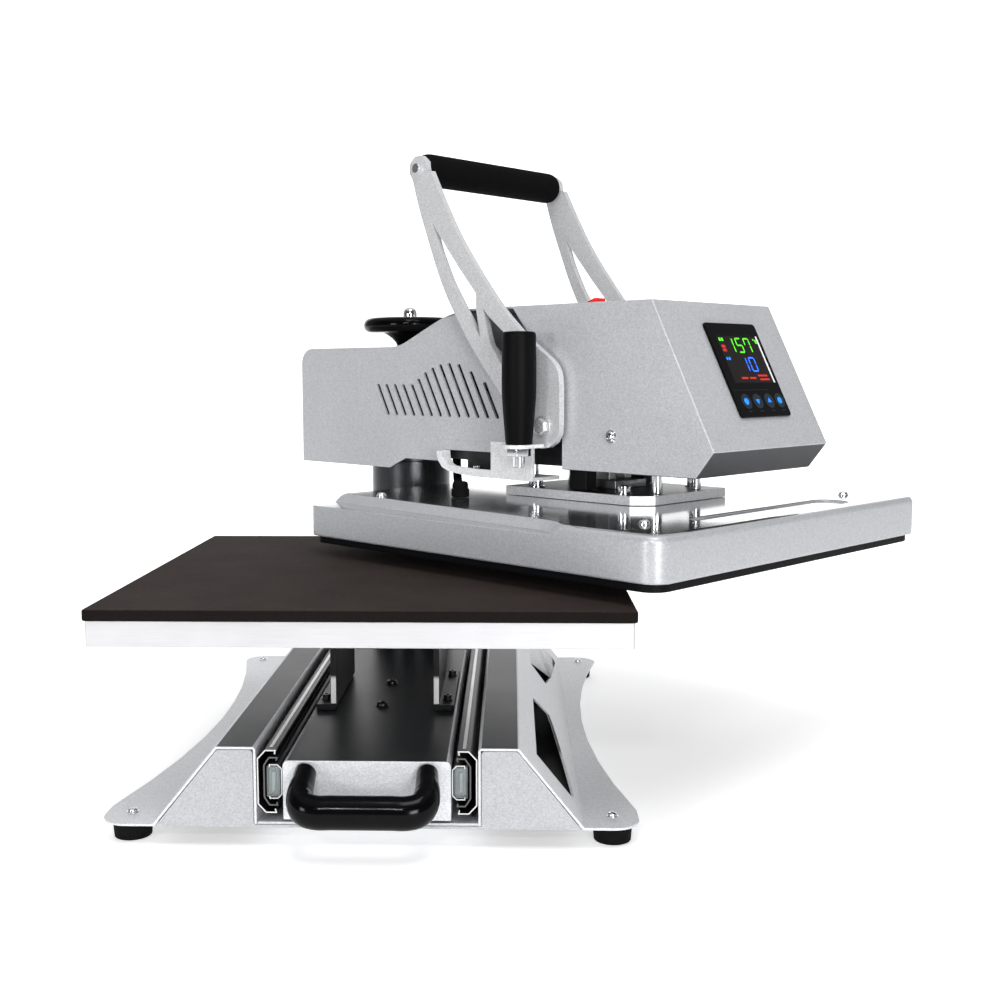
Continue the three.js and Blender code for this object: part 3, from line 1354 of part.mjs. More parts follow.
function upperCover() {
  const half = coverSize / 2;
  const inset = coverEdgeRadius;
  const body = new THREE.ExtrudeGeometry(
    rectangle(inset - half, half - inset, inset - half, half - inset, coverCornerRadius - inset),
    {
      depth: coverHeight - inset, bevelEnabled: true, bevelSize: inset, bevelThickness: inset, bevelSegments: 2,
      curveSegments: 3,
    },
  );
  const trimmed = cut(body, block(-half - overrun, half + overrun, -half - overrun, half + overrun,
    -coverHeight, 0));
  const ledgeTool = new THREE.ExtrudeGeometry(ledgePlan(), {
    depth: coverHeight, bevelEnabled: true, bevelSize: ledgeSlope, bevelThickness: ledgeDepth, bevelSegments: 1,
    curveSegments: 4,
  }).translate(0, 0, coverHeight);
  const groove = prism('z', rectangle(-grooveLength / 2, grooveLength / 2, grooveInset - half,
    grooveInset + grooveWidth - half, grooveWidth / 2 - overrun), coverHeight - grooveDepth,
  coverHeight + overrun, 3);
  const shaped = cut(trimmed, ledgeTool, mirrored(ledgeTool, -1), groove);
  const inner = half - coverSheet;
  const ceiling = coverHeight - ledgeDepth - coverSheet;
  const hollow = prism('z', rectangle(-inner, inner, -inner, inner, coverCornerRadius - coverSheet), -overrun,
    ceiling, 3);
  const crownHalf = half - ledgeRearWidth - coverSheet;
  const crown = block(-crownHalf, crownHalf, -inner + coverEdgeRadius, inner - coverEdgeRadius, ceiling - overrun,
    coverHeight - coverTopSheet);
  return cut(shaped, hollow, crown).translate(0, -armReach, coverBottom);
}

function mountingPlate() {
  const [halfX, halfY, clip] = [plateWidth / 2, plateLength / 2, plateChamfer];
  const shape = outline([
    [clip - halfX, -halfY], [halfX, -halfY], [halfX, halfY - clip], [halfX - clip, halfY],
    [-halfX, halfY], [-halfX, clip - halfY],
  ]);
  return prism('z', shape, plateBottom, plateTop).translate(0, -armReach - plateForward, 0);
}

function heaterCable() {
  const from = new THREE.Vector3(-glandOffset, -glandReach, coverTop + glandHeight);
  const to = new THREE.Vector3(-cableTopOffset, -cableTopReach, coverTop + glandHeight);
  const normal = new THREE.Vector3().crossVectors(axisZ, to.clone().sub(from)).normalize();
  const curve = new THREE.CatmullRomCurve3(cableRiseShares.map(([along, up]) => from.clone().lerp(to, along)
    .addScaledVector(axisZ, up * cableRise)));
  const stations = Array.from({ length: cableStations }, (_, step) => ({
    at: curve.getPoint(step / (cableStations - 1)), half: cableRadius, tall: cableRadius,
  }));
  const gland = roundBar('z', glandRadius, coverTop + fit, from.z + cableRadius, [from.x, from.y], 12);
  return join(loft(stations, normal, 8), gland);
}

function addHead(arm) {
  addPiece(arm, 'head_clevis', clevis(), steel);
  addPiece(arm, 'mounting_plate', mountingPlate(), steel);
  bothSides.forEach(([side, sign]) => {
    const bar = block(guideBarOffset - guideBarWidth / 2, guideBarOffset + guideBarWidth / 2, -guideBarFront,
      -guideBarRear, plateTop + fit, plateTop + fit + guideBarHeight);
    addPiece(arm, `guide_bar_${side}`, mirrored(bar, sign), mattBlack);
    [['front', -1], ['rear', 1]].forEach(([end, way]) => {
      const post = roundBar('z', guidePostRadius, plateTop + fit, plateTop + fit + guidePostLength,
        [(sign * guidePostPitchX) / 2, -armReach + (way * guidePostPitchY) / 2], 16);
      addPiece(arm, `guide_post_${end}_${side}`, post, chrome);
    });
  });
  addPiece(arm, 'upper_cover', upperCover(), paint);
  const boardHalf = boardSize / 2;
  const boardBottom = headBottom + heatingPlatenThickness + fit;
  const corner = coverCornerRadius;
  const rounded = (half, low, high) => prism('z', rectangle(-half, half, -half, half, corner), low, high, 3)
    .translate(0, -armReach, 0);
  addPiece(arm, 'insulation_board', rounded(boardHalf, boardBottom, boardBottom + boardThickness), board);
  const platenHalf = heatingPlatenSize / 2;
  addPiece(arm, 'heating_platen', rounded(platenHalf, headBottom, headBottom + heatingPlatenThickness), mattBlack);
  addPiece(arm, 'heater_cable', heaterCable(), mattBlack);
}

// The whole press

const press = new THREE.Group();
press.position.z = -workSurfaceHeight;
addBase(press);
addDrawer(press);
addPost(press);

const arm = new THREE.Group();
arm.position.y = armReach;
arm.rotation.z = THREE.MathUtils.degToRad(armSwingAngle);
addArm(arm);
addPressureScrew(arm);
addLever(arm);
addPiece(arm, 'toggle_link', toggleLink(), steel);
addHead(arm);
press.add(arm);

const model = new THREE.Group();
model.add(press);

export default model;
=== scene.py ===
"""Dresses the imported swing-away heat press for the studio picture, at rest and in every pose."""

from __future__ import annotations

import json
import logging
import math
from dataclasses import dataclass
from enum import Enum
from typing import Callable, Optional, Sequence, Union

import bpy
from mathutils import Matrix, Vector


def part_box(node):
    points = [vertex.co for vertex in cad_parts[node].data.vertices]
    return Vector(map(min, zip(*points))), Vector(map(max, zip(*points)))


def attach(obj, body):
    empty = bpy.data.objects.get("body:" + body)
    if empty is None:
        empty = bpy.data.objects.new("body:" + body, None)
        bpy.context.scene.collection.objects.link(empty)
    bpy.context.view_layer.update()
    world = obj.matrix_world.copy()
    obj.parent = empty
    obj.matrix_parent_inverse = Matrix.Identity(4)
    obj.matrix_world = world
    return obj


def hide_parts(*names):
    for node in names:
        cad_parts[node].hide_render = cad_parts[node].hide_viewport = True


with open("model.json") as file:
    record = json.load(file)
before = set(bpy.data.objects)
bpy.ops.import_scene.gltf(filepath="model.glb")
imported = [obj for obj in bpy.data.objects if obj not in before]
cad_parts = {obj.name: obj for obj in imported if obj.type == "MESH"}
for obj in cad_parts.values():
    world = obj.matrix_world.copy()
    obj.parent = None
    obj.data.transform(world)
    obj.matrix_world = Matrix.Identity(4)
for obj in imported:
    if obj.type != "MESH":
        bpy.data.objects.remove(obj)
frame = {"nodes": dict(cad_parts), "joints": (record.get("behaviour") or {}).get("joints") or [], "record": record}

LOG = logging.getLogger("heat_press")
MM = 0.001
X, Y, Z = Vector((1, 0, 0)), Vector((0, 1, 0)), Vector((0, 0, 1))
JOINTS = {joint["name"]: joint for joint in frame["joints"]}
BODY_NODES = frame["record"]["behaviour"]["bodies"]
NODE_BODY = {node: body for body, nodes in BODY_NODES.items() for node in nodes}
NODE_SLOT = {row["node"]: row["material_slot"] for row in frame["record"]["subparts"]}
BENCH_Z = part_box("foot_front_left")[0].z
ARM_REACH = JOINTS["arm_swing"]["pos_m"][1]
ARM_SWING = -math.radians(JOINTS["arm_swing"]["range_deg"][0])
PIVOT = Vector(JOINTS["lever_press"]["pos_m"])
LEVER_LEAN = math.radians(33.7)
LEVER_LENGTH = 275.4
PANEL_TOP = Vector((0, -372.7, 404))
PANEL_UP = Vector((0, 59.6, 117)).normalized()
SIDES = (("left", -1), ("right", 1))
ENDS = (("front", -1), ("rear", 1))
COAT_ROUGHNESS = 0.16
SHARP_ANGLE = 32
WELD_GAP = 0.002
FLAT_ANGLE = 0.6

Point = tuple[float, float, float]
Colour = tuple[float, float, float]
Value = Union[float, "Wire"]


class Place(Enum):
    """The frame that a piece is drawn in, in millimetres."""

    BENCH = "bench"
    ARM = "arm"
    LEVER = "lever"
    PANEL = "panel"

    def matrix(self) -> Matrix:
        """Gives the step from this frame to the row frame.

        Returns:
            A matrix that takes millimetres to metres in the row frame.
        """
        scale = Matrix.Scale(MM, 4)
        if self is Place.BENCH:
            return Matrix.Translation((0, 0, BENCH_Z)) @ scale
        turn = Matrix.Rotation(ARM_SWING, 4, "Z")
        if self is Place.LEVER:
            return Matrix.Translation(PIVOT) @ turn @ Matrix.Rotation(-LEVER_LEAN, 4, "X") @ scale
        arm = Matrix.Translation((0, ARM_REACH, BENCH_Z)) @ turn @ scale
        if self is Place.ARM:
            return arm
        out = X.cross(PANEL_UP)
        panel = Matrix((X, PANEL_UP, out)).transposed().to_4x4()
        return arm @ Matrix.Translation(PANEL_TOP) @ panel


# Shader building


class Wire:
    """A shader socket that takes part in plain arithmetic."""

    def __init__(self, graph: "Graph", socket: bpy.types.NodeSocket) -> None:
        """Holds an output socket of a graph."""
        self.graph = graph
        self.socket = socket

    def __add__(self, other: Value) -> "Wire":
        """Adds a number or a wire."""
        return self.graph.math("ADD", self, other)

    def __radd__(self, other: Value) -> "Wire":
        """Adds this wire to a number."""
        return self.graph.math("ADD", other, self)

    def __sub__(self, other: Value) -> "Wire":
        """Takes a number or a wire away."""
        return self.graph.math("SUBTRACT", self, other)

    def __rsub__(self, other: Value) -> "Wire":
        """Takes this wire away from a number."""
        return self.graph.math("SUBTRACT", other, self)

    def __mul__(self, other: Value) -> "Wire":
        """Multiplies by a number or a wire."""
        return self.graph.math("MULTIPLY", self, other)

    def __rmul__(self, other: Value) -> "Wire":
        """Multiplies a number by this wire."""
        return self.graph.math("MULTIPLY", other, self)

    def clamped(self, low: float, high: float) -> "Wire":
        """Keeps the value between two limits."""
        return self.graph.math("MINIMUM", self.graph.math("MAXIMUM", self, low), high)


class Graph:
    """The node tree of one material or of the studio's surroundings."""

    def __init__(self, owner: Union[bpy.types.Material, bpy.types.World],
                 shader: str = "ShaderNodeBsdfPrincipled",
                 output: str = "ShaderNodeOutputMaterial", coordinate: str = "Object") -> None:
        """Starts an owner's tree with one shader.

        Args:
            owner: The material or world.
            shader: The type of its shader node.
            output: The type of its output node.
            coordinate: The coordinate that its textures use.
        """
        self.owner = owner
        owner.use_nodes = True
        self.tree = owner.node_tree
        self.tree.nodes.clear()
        self.shader = self.node(shader)
        self.tree.links.new(self.shader.outputs[0], self.node(output).inputs[0])
        self.place = Wire(self, self.node("ShaderNodeTexCoord").outputs[coordinate])

    def node(self, kind: str, settings: Optional[dict] = None,
             inputs: Optional[dict] = None) -> bpy.types.Node:
        """Adds one node.

        Args:
            kind: The node's type.
            settings: Attributes set first; "stops" gives a ramp's (place, colour) pairs.
            inputs: Values or wires of its sockets, by name or number.

        Returns:
            The new node.
        """
        made = self.tree.nodes.new(kind)
        for key, value in (settings or {}).items():
            if key != "stops":
                setattr(made, key, value)
                continue
            ramp = made.color_ramp
            while len(ramp.elements) < len(value):
                ramp.elements.new(0.5)
            for stop, (at, colour) in zip(ramp.elements, value):
                stop.position, stop.color = at, (*colour, 1.0)
        for key, value in (inputs or {}).items():
            if isinstance(value, Wire):
                self.tree.links.new(value.socket, made.inputs[key])
            else:
                made.inputs[key].default_value = value
        return made

    def math(self, operation: str, first: Value, second: Value) -> Wire:
        """Adds a Math node on two numbers or wires."""
        made = self.node("ShaderNodeMath", {"operation": operation}, {0: first, 1: second})
        return Wire(self, made.outputs[0])

    def stretched(self, scale: Point) -> Wire:
        """Gives object coordinates scaled along each axis."""
        made = self.node("ShaderNodeMapping", None, {"Vector": self.place, "Scale": scale})
        return Wire(self, made.outputs[0])

    def noise(self, grain: float, detail: float = 2.0, stretch: Optional[Point] = None) -> Wire:
        """Adds noise whose features are about grain millimetres across."""
        vector = self.stretched(stretch) if stretch else self.place
        inputs = {"Vector": vector, "Scale": 1 / (grain * MM), "Detail": detail}
        return Wire(self, self.node("ShaderNodeTexNoise", None, inputs).outputs[0])

    def cells(self, grain: float, output: str = "Distance") -> Wire:
        """Adds Voronoi cells about grain millimetres across."""
        made = self.node("ShaderNodeTexVoronoi", None,
                         {"Vector": self.place, "Scale": 1 / (grain * MM)})
        wire = Wire(self, made.outputs[output])
        if output == "Distance":
            return wire
        return Wire(self, self.node("ShaderNodeSeparateColor", None, {0: wire}).outputs[0])

    def tint(self, colour: Colour, strength: Wire) -> Wire:
        """Scales a colour by a wire."""
        made = self.node("ShaderNodeVectorMath", {"operation": "SCALE"},
                         {0: colour, "Scale": strength})
        return Wire(self, made.outputs[0])

    def mix(self, first: Union[Wire, Colour], second: Union[Wire, Colour], factor: Value) -> Wire:
        """Mixes two colours."""
        ends = [value if isinstance(value, Wire) else (*value, 1.0) for value in (first, second)]
        made = self.node("ShaderNodeMix", {"data_type": "RGBA"},
                         {0: factor, 6: ends[0], 7: ends[1]})
        return Wire(self, made.outputs[2])

    def bump(self, height: Wire, depth: float, strength: float = 1.0) -> Wire:
        """Turns a height into a normal; depth is in millimetres."""
        made = self.node("ShaderNodeBump", None,
                         {"Height": height, "Distance": depth * MM, "Strength": strength})
        return Wire(self, made.outputs[0])

    def rising(self, value: Wire, low: float, high: float) -> Wire:
        """Gives 0 to 1 as a value rises from low to high."""
        inputs = {0: value, 1: low, 2: high, 3: 0.0, 4: 1.0}
        made = self.node("ShaderNodeMapRange", {"interpolation_type": "SMOOTHSTEP"}, inputs)
        return Wire(self, made.outputs[0])

    def along(self, vector: Wire, axis: int, low: float, high: float) -> Wire:
        """Gives 0 to 1 as one part of a vector rises from low to high."""
        split = self.node("ShaderNodeSeparateXYZ", None, {0: vector})
        return self.rising(Wire(self, split.outputs[axis]), low, high)

    def normal(self) -> Wire:
        """Gives the way that each face looks."""
        return Wire(self, self.node("ShaderNodeNewGeometry").outputs["Normal"])

    def facing_up(self, low: float, high: float) -> Wire:
        """Gives 0 to 1 as a face's upward share rises from low to high."""
        return self.along(self.normal(), 2, low, high)

    def facing_front(self) -> Wire:
        """Gives 1 on faces that look straight to the front and 0 on the rest."""
        return 1 - self.along(self.normal(), 1, -0.99, -0.93)

    def finish(self, sockets: dict) -> Union[bpy.types.Material, bpy.types.World]:
        """Fills the shader's sockets.

        Args:
            sockets: Values or wires by socket name.

        Returns:
            The finished owner.
        """
        for key, value in sockets.items():
            if isinstance(value, Wire):
                self.tree.links.new(value.socket, self.shader.inputs[key])
            else:
                self.shader.inputs[key].default_value = value
        return self.owner


@dataclass(frozen=True)
class Finish:
    """A plain surface: one colour with faint smudges."""

    name: str
    colour: Colour
    roughness: float = 0.4
    metallic: float = 0.0
    coat: float = 0.0
    grain: float = 1.0
    relief: float = 0.0
    variation: float = 0.1
    shine: float = 0.5

    def material(self) -> bpy.types.Material:
        """Makes the material once and hands it out again later."""
        known = bpy.data.materials.get(self.name)
        return known or self.paint(Graph(bpy.data.materials.new(self.name)))

    def shared(self) -> dict:
        """Gives the sockets that are the same all over."""
        return {"Metallic": self.metallic, "Coat Weight": self.coat,
                "Coat Roughness": COAT_ROUGHNESS, "Specular IOR Level": self.shine}

    def paint(self, graph: Graph) -> bpy.types.Material:
        """Fills the graph of this finish."""
        cloud = graph.noise(18, 3)
        fine = graph.noise(self.grain, 3)
        strength = 1 + (cloud - 0.5) * self.variation + (fine - 0.5) * self.variation
        sockets = self.shared()
        sockets["Base Color"] = graph.tint(self.colour, strength)
        sockets["Roughness"] = (self.roughness + (cloud - 0.5) * 0.12).clamped(0.03, 1)
        if self.relief:
            sockets["Normal"] = graph.bump(fine, self.relief)
        return graph.finish(sockets)


@dataclass(frozen=True)
class MetallicPaint(Finish):
    """Silver powder coat with fine flakes and a faint orange peel; with an under share below 1, faces that look
    down are painted darker as painted shade.
    """

    flake: float = 0.9
    sparkle: float = 0.26
    under: float = 1.0

    def paint(self, graph: Graph) -> bpy.types.Material:
        """Fills the graph of this finish."""
        flakes = graph.cells(self.flake, "Color")
        cloud = graph.noise(45, 3)
        peel = graph.noise(self.grain, 2)
        grit = graph.noise(1.7, 2)
        strength = 1 + (flakes - 0.5) * self.sparkle + (grit - 0.5) * 0.2
        strength = strength + (cloud - 0.5) * self.variation
        # Painted shade: faces that look down keep only the under share of their colour.
        if self.under < 1:
            strength = strength * (self.under + (1 - self.under) * graph.facing_up(-0.62, -0.3))
        sockets = self.shared()
        sockets["Base Color"] = graph.tint(self.colour, strength)
        rough = self.roughness + (flakes - 0.5) * 0.08 + (cloud - 0.5) * 0.06
        sockets["Roughness"] = rough.clamped(0.05, 1)
        sockets["Normal"] = graph.bump(peel, self.relief)
        return graph.finish(sockets)


@dataclass(frozen=True)
class LevelTopPaint(MetallicPaint):
    """Silver powder coat whose level top above a height shows another surface: a polished plate on the cover, and
    painted shade with a painted reflection where the top colour is dark.
    """

    top_colour: Colour = (0.66, 0.67, 0.69)
    top_metallic: float = 0.97
    top_roughness: float = 0.1
    height: float = -1.0
    slope: float = 0.97

    def paint(self, graph: Graph) -> bpy.types.Material:
        """Fills the graph of this finish."""
        flakes = graph.cells(self.flake, "Color")
        # Level-top mask; where the top colour is dark it paints shade and a dark reflection.
        level = graph.facing_up(self.slope, self.slope + 0.025)
        top = level * graph.along(graph.place, 2, self.height, self.height + 0.002)
        cloud = graph.noise(60, 4)
        streaks = graph.noise(2.2, 3, (0.04, 1, 1))
        side = graph.tint(self.colour, 1 + (flakes - 0.5) * self.sparkle)
        above = graph.tint(self.top_colour, 1 + (streaks - 0.5) * 0.08)
        rough = self.roughness + (flakes - 0.5) * 0.1
        sheen = self.top_roughness + (cloud - 0.5) * 0.05 + (streaks - 0.5) * 0.04
        sockets = self.shared()
        sockets["Base Color"] = graph.mix(side, above, top)
        sockets["Metallic"] = self.metallic + (self.top_metallic - self.metallic) * top
        sockets["Roughness"] = (rough + (sheen - rough) * top).clamped(0.04, 1)
        sockets["Normal"] = graph.bump(graph.noise(self.grain, 2) * (1 - top), self.relief)
        return graph.finish(sockets)


@dataclass(frozen=True)
class BrushedMetal(Finish):
    """Metal with fine drawn lines along one axis."""

    stretch: Point = (0.02, 1, 1)

    def paint(self, graph: Graph) -> bpy.types.Material:
        """Fills the graph of this finish."""
        lines = graph.noise(self.grain, 4, self.stretch)
        cloud = graph.noise(30, 3)
        strength = 1 + (lines - 0.5) * self.variation * 2 + (cloud - 0.5) * self.variation
        sockets = self.shared()
        sockets["Base Color"] = graph.tint(self.colour, strength)
        rough = self.roughness + (lines - 0.5) * 0.2 + (cloud - 0.5) * 0.08
        sockets["Roughness"] = rough.clamped(0.05, 1)
        sockets["Normal"] = graph.bump(lines, self.relief)
        return graph.finish(sockets)


@dataclass(frozen=True)
class LitEndSheet(Finish):
    """Sheet coloured black, whose front ends are painted bright as a painted highlight between a low limit and a
    height.
    """

    lit_end_colour: Colour = (0.62, 0.62, 0.6)
    low: float = -1.0
    height: float = 1.0

    def paint(self, graph: Graph) -> bpy.types.Material:
        """Fills the graph of this finish."""
        # Painted highlight: faces that look to the front are painted bright below the height and above the low
        # limit.
        over = graph.along(graph.place, 2, self.height - 0.004, self.height)
        ends = graph.facing_front() * (1 - over)
        ends = ends * graph.along(graph.place, 2, self.low, self.low + 0.001)
        fine = graph.noise(self.grain, 3)
        sockets = self.shared()
        black = graph.tint(self.colour, 1 + (fine - 0.5) * self.variation)
        bright = graph.tint(self.lit_end_colour, 0.85 + fine * 0.3)
        sockets["Base Color"] = graph.mix(black, bright, ends)
        sockets["Roughness"] = (self.roughness + (fine - 0.5) * 0.1).clamped(0.1, 1)
        sockets["Normal"] = graph.bump(fine, self.relief)
        return graph.finish(sockets)


@dataclass(frozen=True)
class PoredRubber(Finish):
    """Sponge or foam with open pores at two sizes."""

    pore: float = 1.4
    side: float = 1.0

    def paint(self, graph: Graph) -> bpy.types.Material:
        """Fills the graph of this finish."""
        pores = graph.cells(self.pore)
        dust = graph.noise(self.grain, 4)
        cloud = graph.noise(55, 4)
        height = pores * 0.6 + dust * 0.5
        strength = 0.78 + pores * 0.4 + (dust - 0.5) * 0.35 + (cloud - 0.5) * self.variation
        if self.side < 1:
            strength = strength * (self.side + (1 - self.side) * graph.facing_up(0.6, 0.95))
        sockets = self.shared()
        sockets["Base Color"] = graph.tint(self.colour, strength)
        sockets["Roughness"] = (self.roughness + (dust - 0.5) * 0.2).clamped(0.3, 1)
        sockets["Normal"] = graph.bump(height, self.relief)
        return graph.finish(sockets)


@dataclass(frozen=True)
class ClearPlastic(Finish):
    """Clear moulded plastic with faint flow lines."""

    def paint(self, graph: Graph) -> bpy.types.Material:
        """Fills the graph of this finish."""
        flow = graph.noise(6, 2)
        sockets = self.shared()
        sockets["Base Color"] = graph.tint(self.colour, 1 + (flow - 0.5) * 0.06)
        sockets["Roughness"] = 0.06 + flow * 0.08
        sockets["Transmission Weight"] = 0.2
        sockets["IOR"] = 1.49
        sockets["Alpha"] = 0.4
        sockets["Normal"] = graph.bump(flow, self.relief)
        return graph.finish(sockets)


@dataclass(frozen=True)
class GlowingCloth(Finish):
    """Pale studio cloth, painted darker in front of the object as painted shade, that glows near and behind the
    object as painted light which lifts the shadows on it.
    """

    near: float = 0.42
    far: float = 0.85

    def paint(self, graph: Graph) -> bpy.types.Material:
        """Fills the graph of this finish."""
        under = graph.along(graph.place, 1, -0.95, -0.45)
        behind = graph.along(graph.place, 1, 0.3, 1.5)
        sockets = self.shared()
        # Painted shade: the floor's colour is darker in front of the object.
        sockets["Base Color"] = graph.tint(self.colour, 0.6 + 0.4 * under)
        sockets["Roughness"] = self.roughness
        # Painted light: the floor glows near the object, lifting its shadows, and more behind it.
        glow = under * self.near + behind * (self.far - self.near)
        sockets["Emission Color"] = graph.tint((1, 1, 1), glow)
        sockets["Emission Strength"] = 1.0
        return graph.finish(sockets)


@dataclass(frozen=True)
class LitMark(Finish):
    """A lit mark on the display."""

    power: float = 2.0

    def paint(self, graph: Graph) -> bpy.types.Material:
        """Fills the graph of this finish."""
        glow = 0.85 + graph.noise(2, 2) * 0.3
        sockets = self.shared()
        sockets["Base Color"] = graph.tint(self.colour, glow)
        sockets["Roughness"] = 0.3
        sockets["Emission Color"] = graph.tint(self.colour, glow)
        sockets["Emission Strength"] = self.power
        return graph.finish(sockets)


SILVER_GREY = (0.53, 0.54, 0.56)
SILVER = MetallicPaint("silver_powder_coat", SILVER_GREY, 0.42, 0.3, 0.35, grain=2.6, relief=0.03)
# Painted shade: faces of the control box that look down are painted dark.
BOX_PAINT = MetallicPaint("control_box_paint", SILVER_GREY, 0.42, 0.3, 0.35, grain=2.6, relief=0.03,
                          under=0.16)
SILVER_COVER = LevelTopPaint("silver_cover_paint", (0.46, 0.47, 0.49), 0.4, 0.3, 0.35, grain=2.6,
                             relief=0.03, slope=0.93)
# Painted reflection: the plate's level top is painted near black as the dark reflection and shade under the
# control box.
PLATE_STEEL = LevelTopPaint("ground_plate_steel", (0.84, 0.85, 0.87), 0.35, 0.4, grain=2,
                            relief=0.01, shine=0.3, top_colour=(0.006, 0.006, 0.007),
                            top_metallic=0.0, top_roughness=0.3)
PALE_PAINT = MetallicPaint("pale_bracket_paint", (0.86, 0.865, 0.88), 0.36, 0.3, 0.4, grain=2.6,
                           relief=0.02)
LIGHT_PAINT = MetallicPaint("light_lever_paint", (0.68, 0.685, 0.7), 0.36, 0.35, 0.4, grain=2.6,
                            relief=0.02)
BRIGHT_BOLT = BrushedMetal("bright_bolt_steel", (0.72, 0.73, 0.74), 0.28, 0.6, grain=0.6,
                           relief=0.008)
GRIP_BLACK = Finish("moulded_grip_black", (0.0015, 0.0015, 0.002), 0.5, grain=4, relief=0.02,
                    shine=0.08)
# Painted shade: level tops above 30 mm, under the platen, are painted near black as its shade and the dark
# reflection of its underside.
SHADED_PAINT = LevelTopPaint("shaded_base_paint", (0.66, 0.67, 0.69), 0.42, 0.3, grain=2.6,
                             relief=0.03, shine=0.2, top_colour=(0.012, 0.013, 0.015),
                             top_metallic=0.1, top_roughness=0.36, height=BENCH_Z + 0.03)
FRONT_PAINT = MetallicPaint("front_sheet_paint", (0.4, 0.405, 0.425), 0.42, 0.25, 0.2, grain=2.6,
                            relief=0.03)
DARK_STEEL = Finish("black_finished_steel", (0.02, 0.02, 0.022), 0.34, 0.6, 0.1, grain=1.2,
                    relief=0.02)
RAIL_SHEET = LitEndSheet("rolled_rail_sheet", (0.01, 0.01, 0.011), 0.35, 0.2, grain=2, relief=0.01,
                      shine=0.3)
# Painted shade and painted light: the platen brackets are painted black as the shade under the platen, and their
# front edges are painted bright between the foot and the platen's shade.
BRACKET_SHEET = LitEndSheet("bracket_sheet", (0.008, 0.008, 0.009), 0.4, 0.1, grain=2, relief=0.02,
                         shine=0.2, low=BENCH_Z + 0.0722, height=BENCH_Z + 0.097)
DIM_SHEET = LitEndSheet("inner_rail_sheet", (0.008, 0.008, 0.009), 0.4, 0.2, grain=2, relief=0.01,
                     shine=0.25, lit_end_colour=(0.1, 0.1, 0.1))
STEEL = BrushedMetal("machined_steel", (0.42, 0.43, 0.44), 0.32, 0.95, grain=0.5, relief=0.012)
POST_STEEL = BrushedMetal("turned_post_steel", (0.06, 0.062, 0.065), 0.3, 0.95, grain=0.6,
                          relief=0.006, stretch=(1, 1, 0.02))
CHROME = Finish("bright_chrome", (0.82, 0.83, 0.85), 0.09, 1.0, grain=3, variation=0.04)
ALUMINIUM = BrushedMetal("brushed_aluminium", (0.58, 0.58, 0.595), 0.45, 0.4, grain=0.45,
                         relief=0.015, stretch=(0.02, 0.02, 1))
GLOSS_BLACK = Finish("gloss_black_plastic", (0.0015, 0.0015, 0.002), 0.13, 0.0, 0.0, grain=7,
                     relief=0.01, shine=0.11)
MATT_BLACK = Finish("matt_black_plastic", (0.006, 0.006, 0.007), 0.5, grain=0.5, relief=0.05,
                    shine=0.2)
RUBBER = Finish("moulded_foot_rubber", (0.005, 0.005, 0.005), 0.7, grain=0.8, relief=0.08,
                variation=0.3, shine=0.05)
FOAM = PoredRubber("black_foam", (0.003, 0.003, 0.0035), 0.9, grain=0.5, relief=0.3, pore=1.1,
                   shine=0.08)
SPONGE = PoredRubber("brown_sponge", (0.029, 0.0205, 0.018), 0.85, grain=0.7, relief=0.22, pore=1.8,
                     variation=0.7, shine=0.12, side=0.22)
BOARD = Finish("fibre_board", (0.6, 0.54, 0.42), 0.85, grain=0.8, relief=0.15, variation=0.3)
PLATEN_COAT = Finish("dark_platen_coat", (0.005, 0.005, 0.006), 0.45, 0.0, grain=0.9, relief=0.03,
                     shine=0.06)
CLEAR = ClearPlastic("clear_moulding", (0.5, 0.56, 0.56), relief=0.05)
RED = Finish("red_moulding", (0.85, 0.012, 0.01), 0.25, 0.0, 0.3, grain=5, relief=0.01,
             variation=0.06)
SCREEN = Finish("dark_screen", (0.012, 0.009, 0.009), 0.2, grain=6, variation=0.5, shine=0.15)
GREEN_MARK = LitMark("green_mark", (0.09, 0.8, 0.02), power=0.7)
BLUE_MARK = LitMark("blue_mark", (0.02, 0.14, 1.0), power=1.0)
CYAN_MARK = LitMark("cyan_mark", (0.01, 0.22, 1.0), power=0.7)
RED_MARK = LitMark("red_mark", (0.45, 0.02, 0.012), power=0.45)
FAINT_MARK = LitMark("faint_mark", (0.004, 0.012, 0.022), power=0.25)
WHITE_EDGE = Finish("white_edge", (0.9, 0.9, 0.92), 0.4, variation=0.02)
# Painted highlight of the rail's lip, in bright reflective metal.
RAIL_HIGHLIGHT = Finish("painted_rail_highlight", (0.78, 0.78, 0.76), 0.35, 0.6, grain=1.5, variation=0.1)
FLOOR = GlowingCloth("pale_floor", (0.93, 0.93, 0.935), 0.7, grain=40, variation=0.01)

SLOT_FINISH = {
    "silver_paint": SILVER, "dark_steel": DARK_STEEL, "steel": STEEL, "chrome": CHROME,
    "aluminium": ALUMINIUM,
    "gloss_black": GLOSS_BLACK, "matte_black": MATT_BLACK, "black_rubber": RUBBER, "foam": FOAM,
    "silicone": SPONGE, "clear_plastic": CLEAR, "red_plastic": RED, "screen": SCREEN,
    "board": BOARD,
    "platen_coat": PLATEN_COAT,
}


# Mesh shaping


def draw_on(step: Point) -> None:
    """Extrudes what is selected and moves it by a step."""
    bpy.ops.mesh.extrude_region_move(TRANSFORM_OT_translate={"value": step})


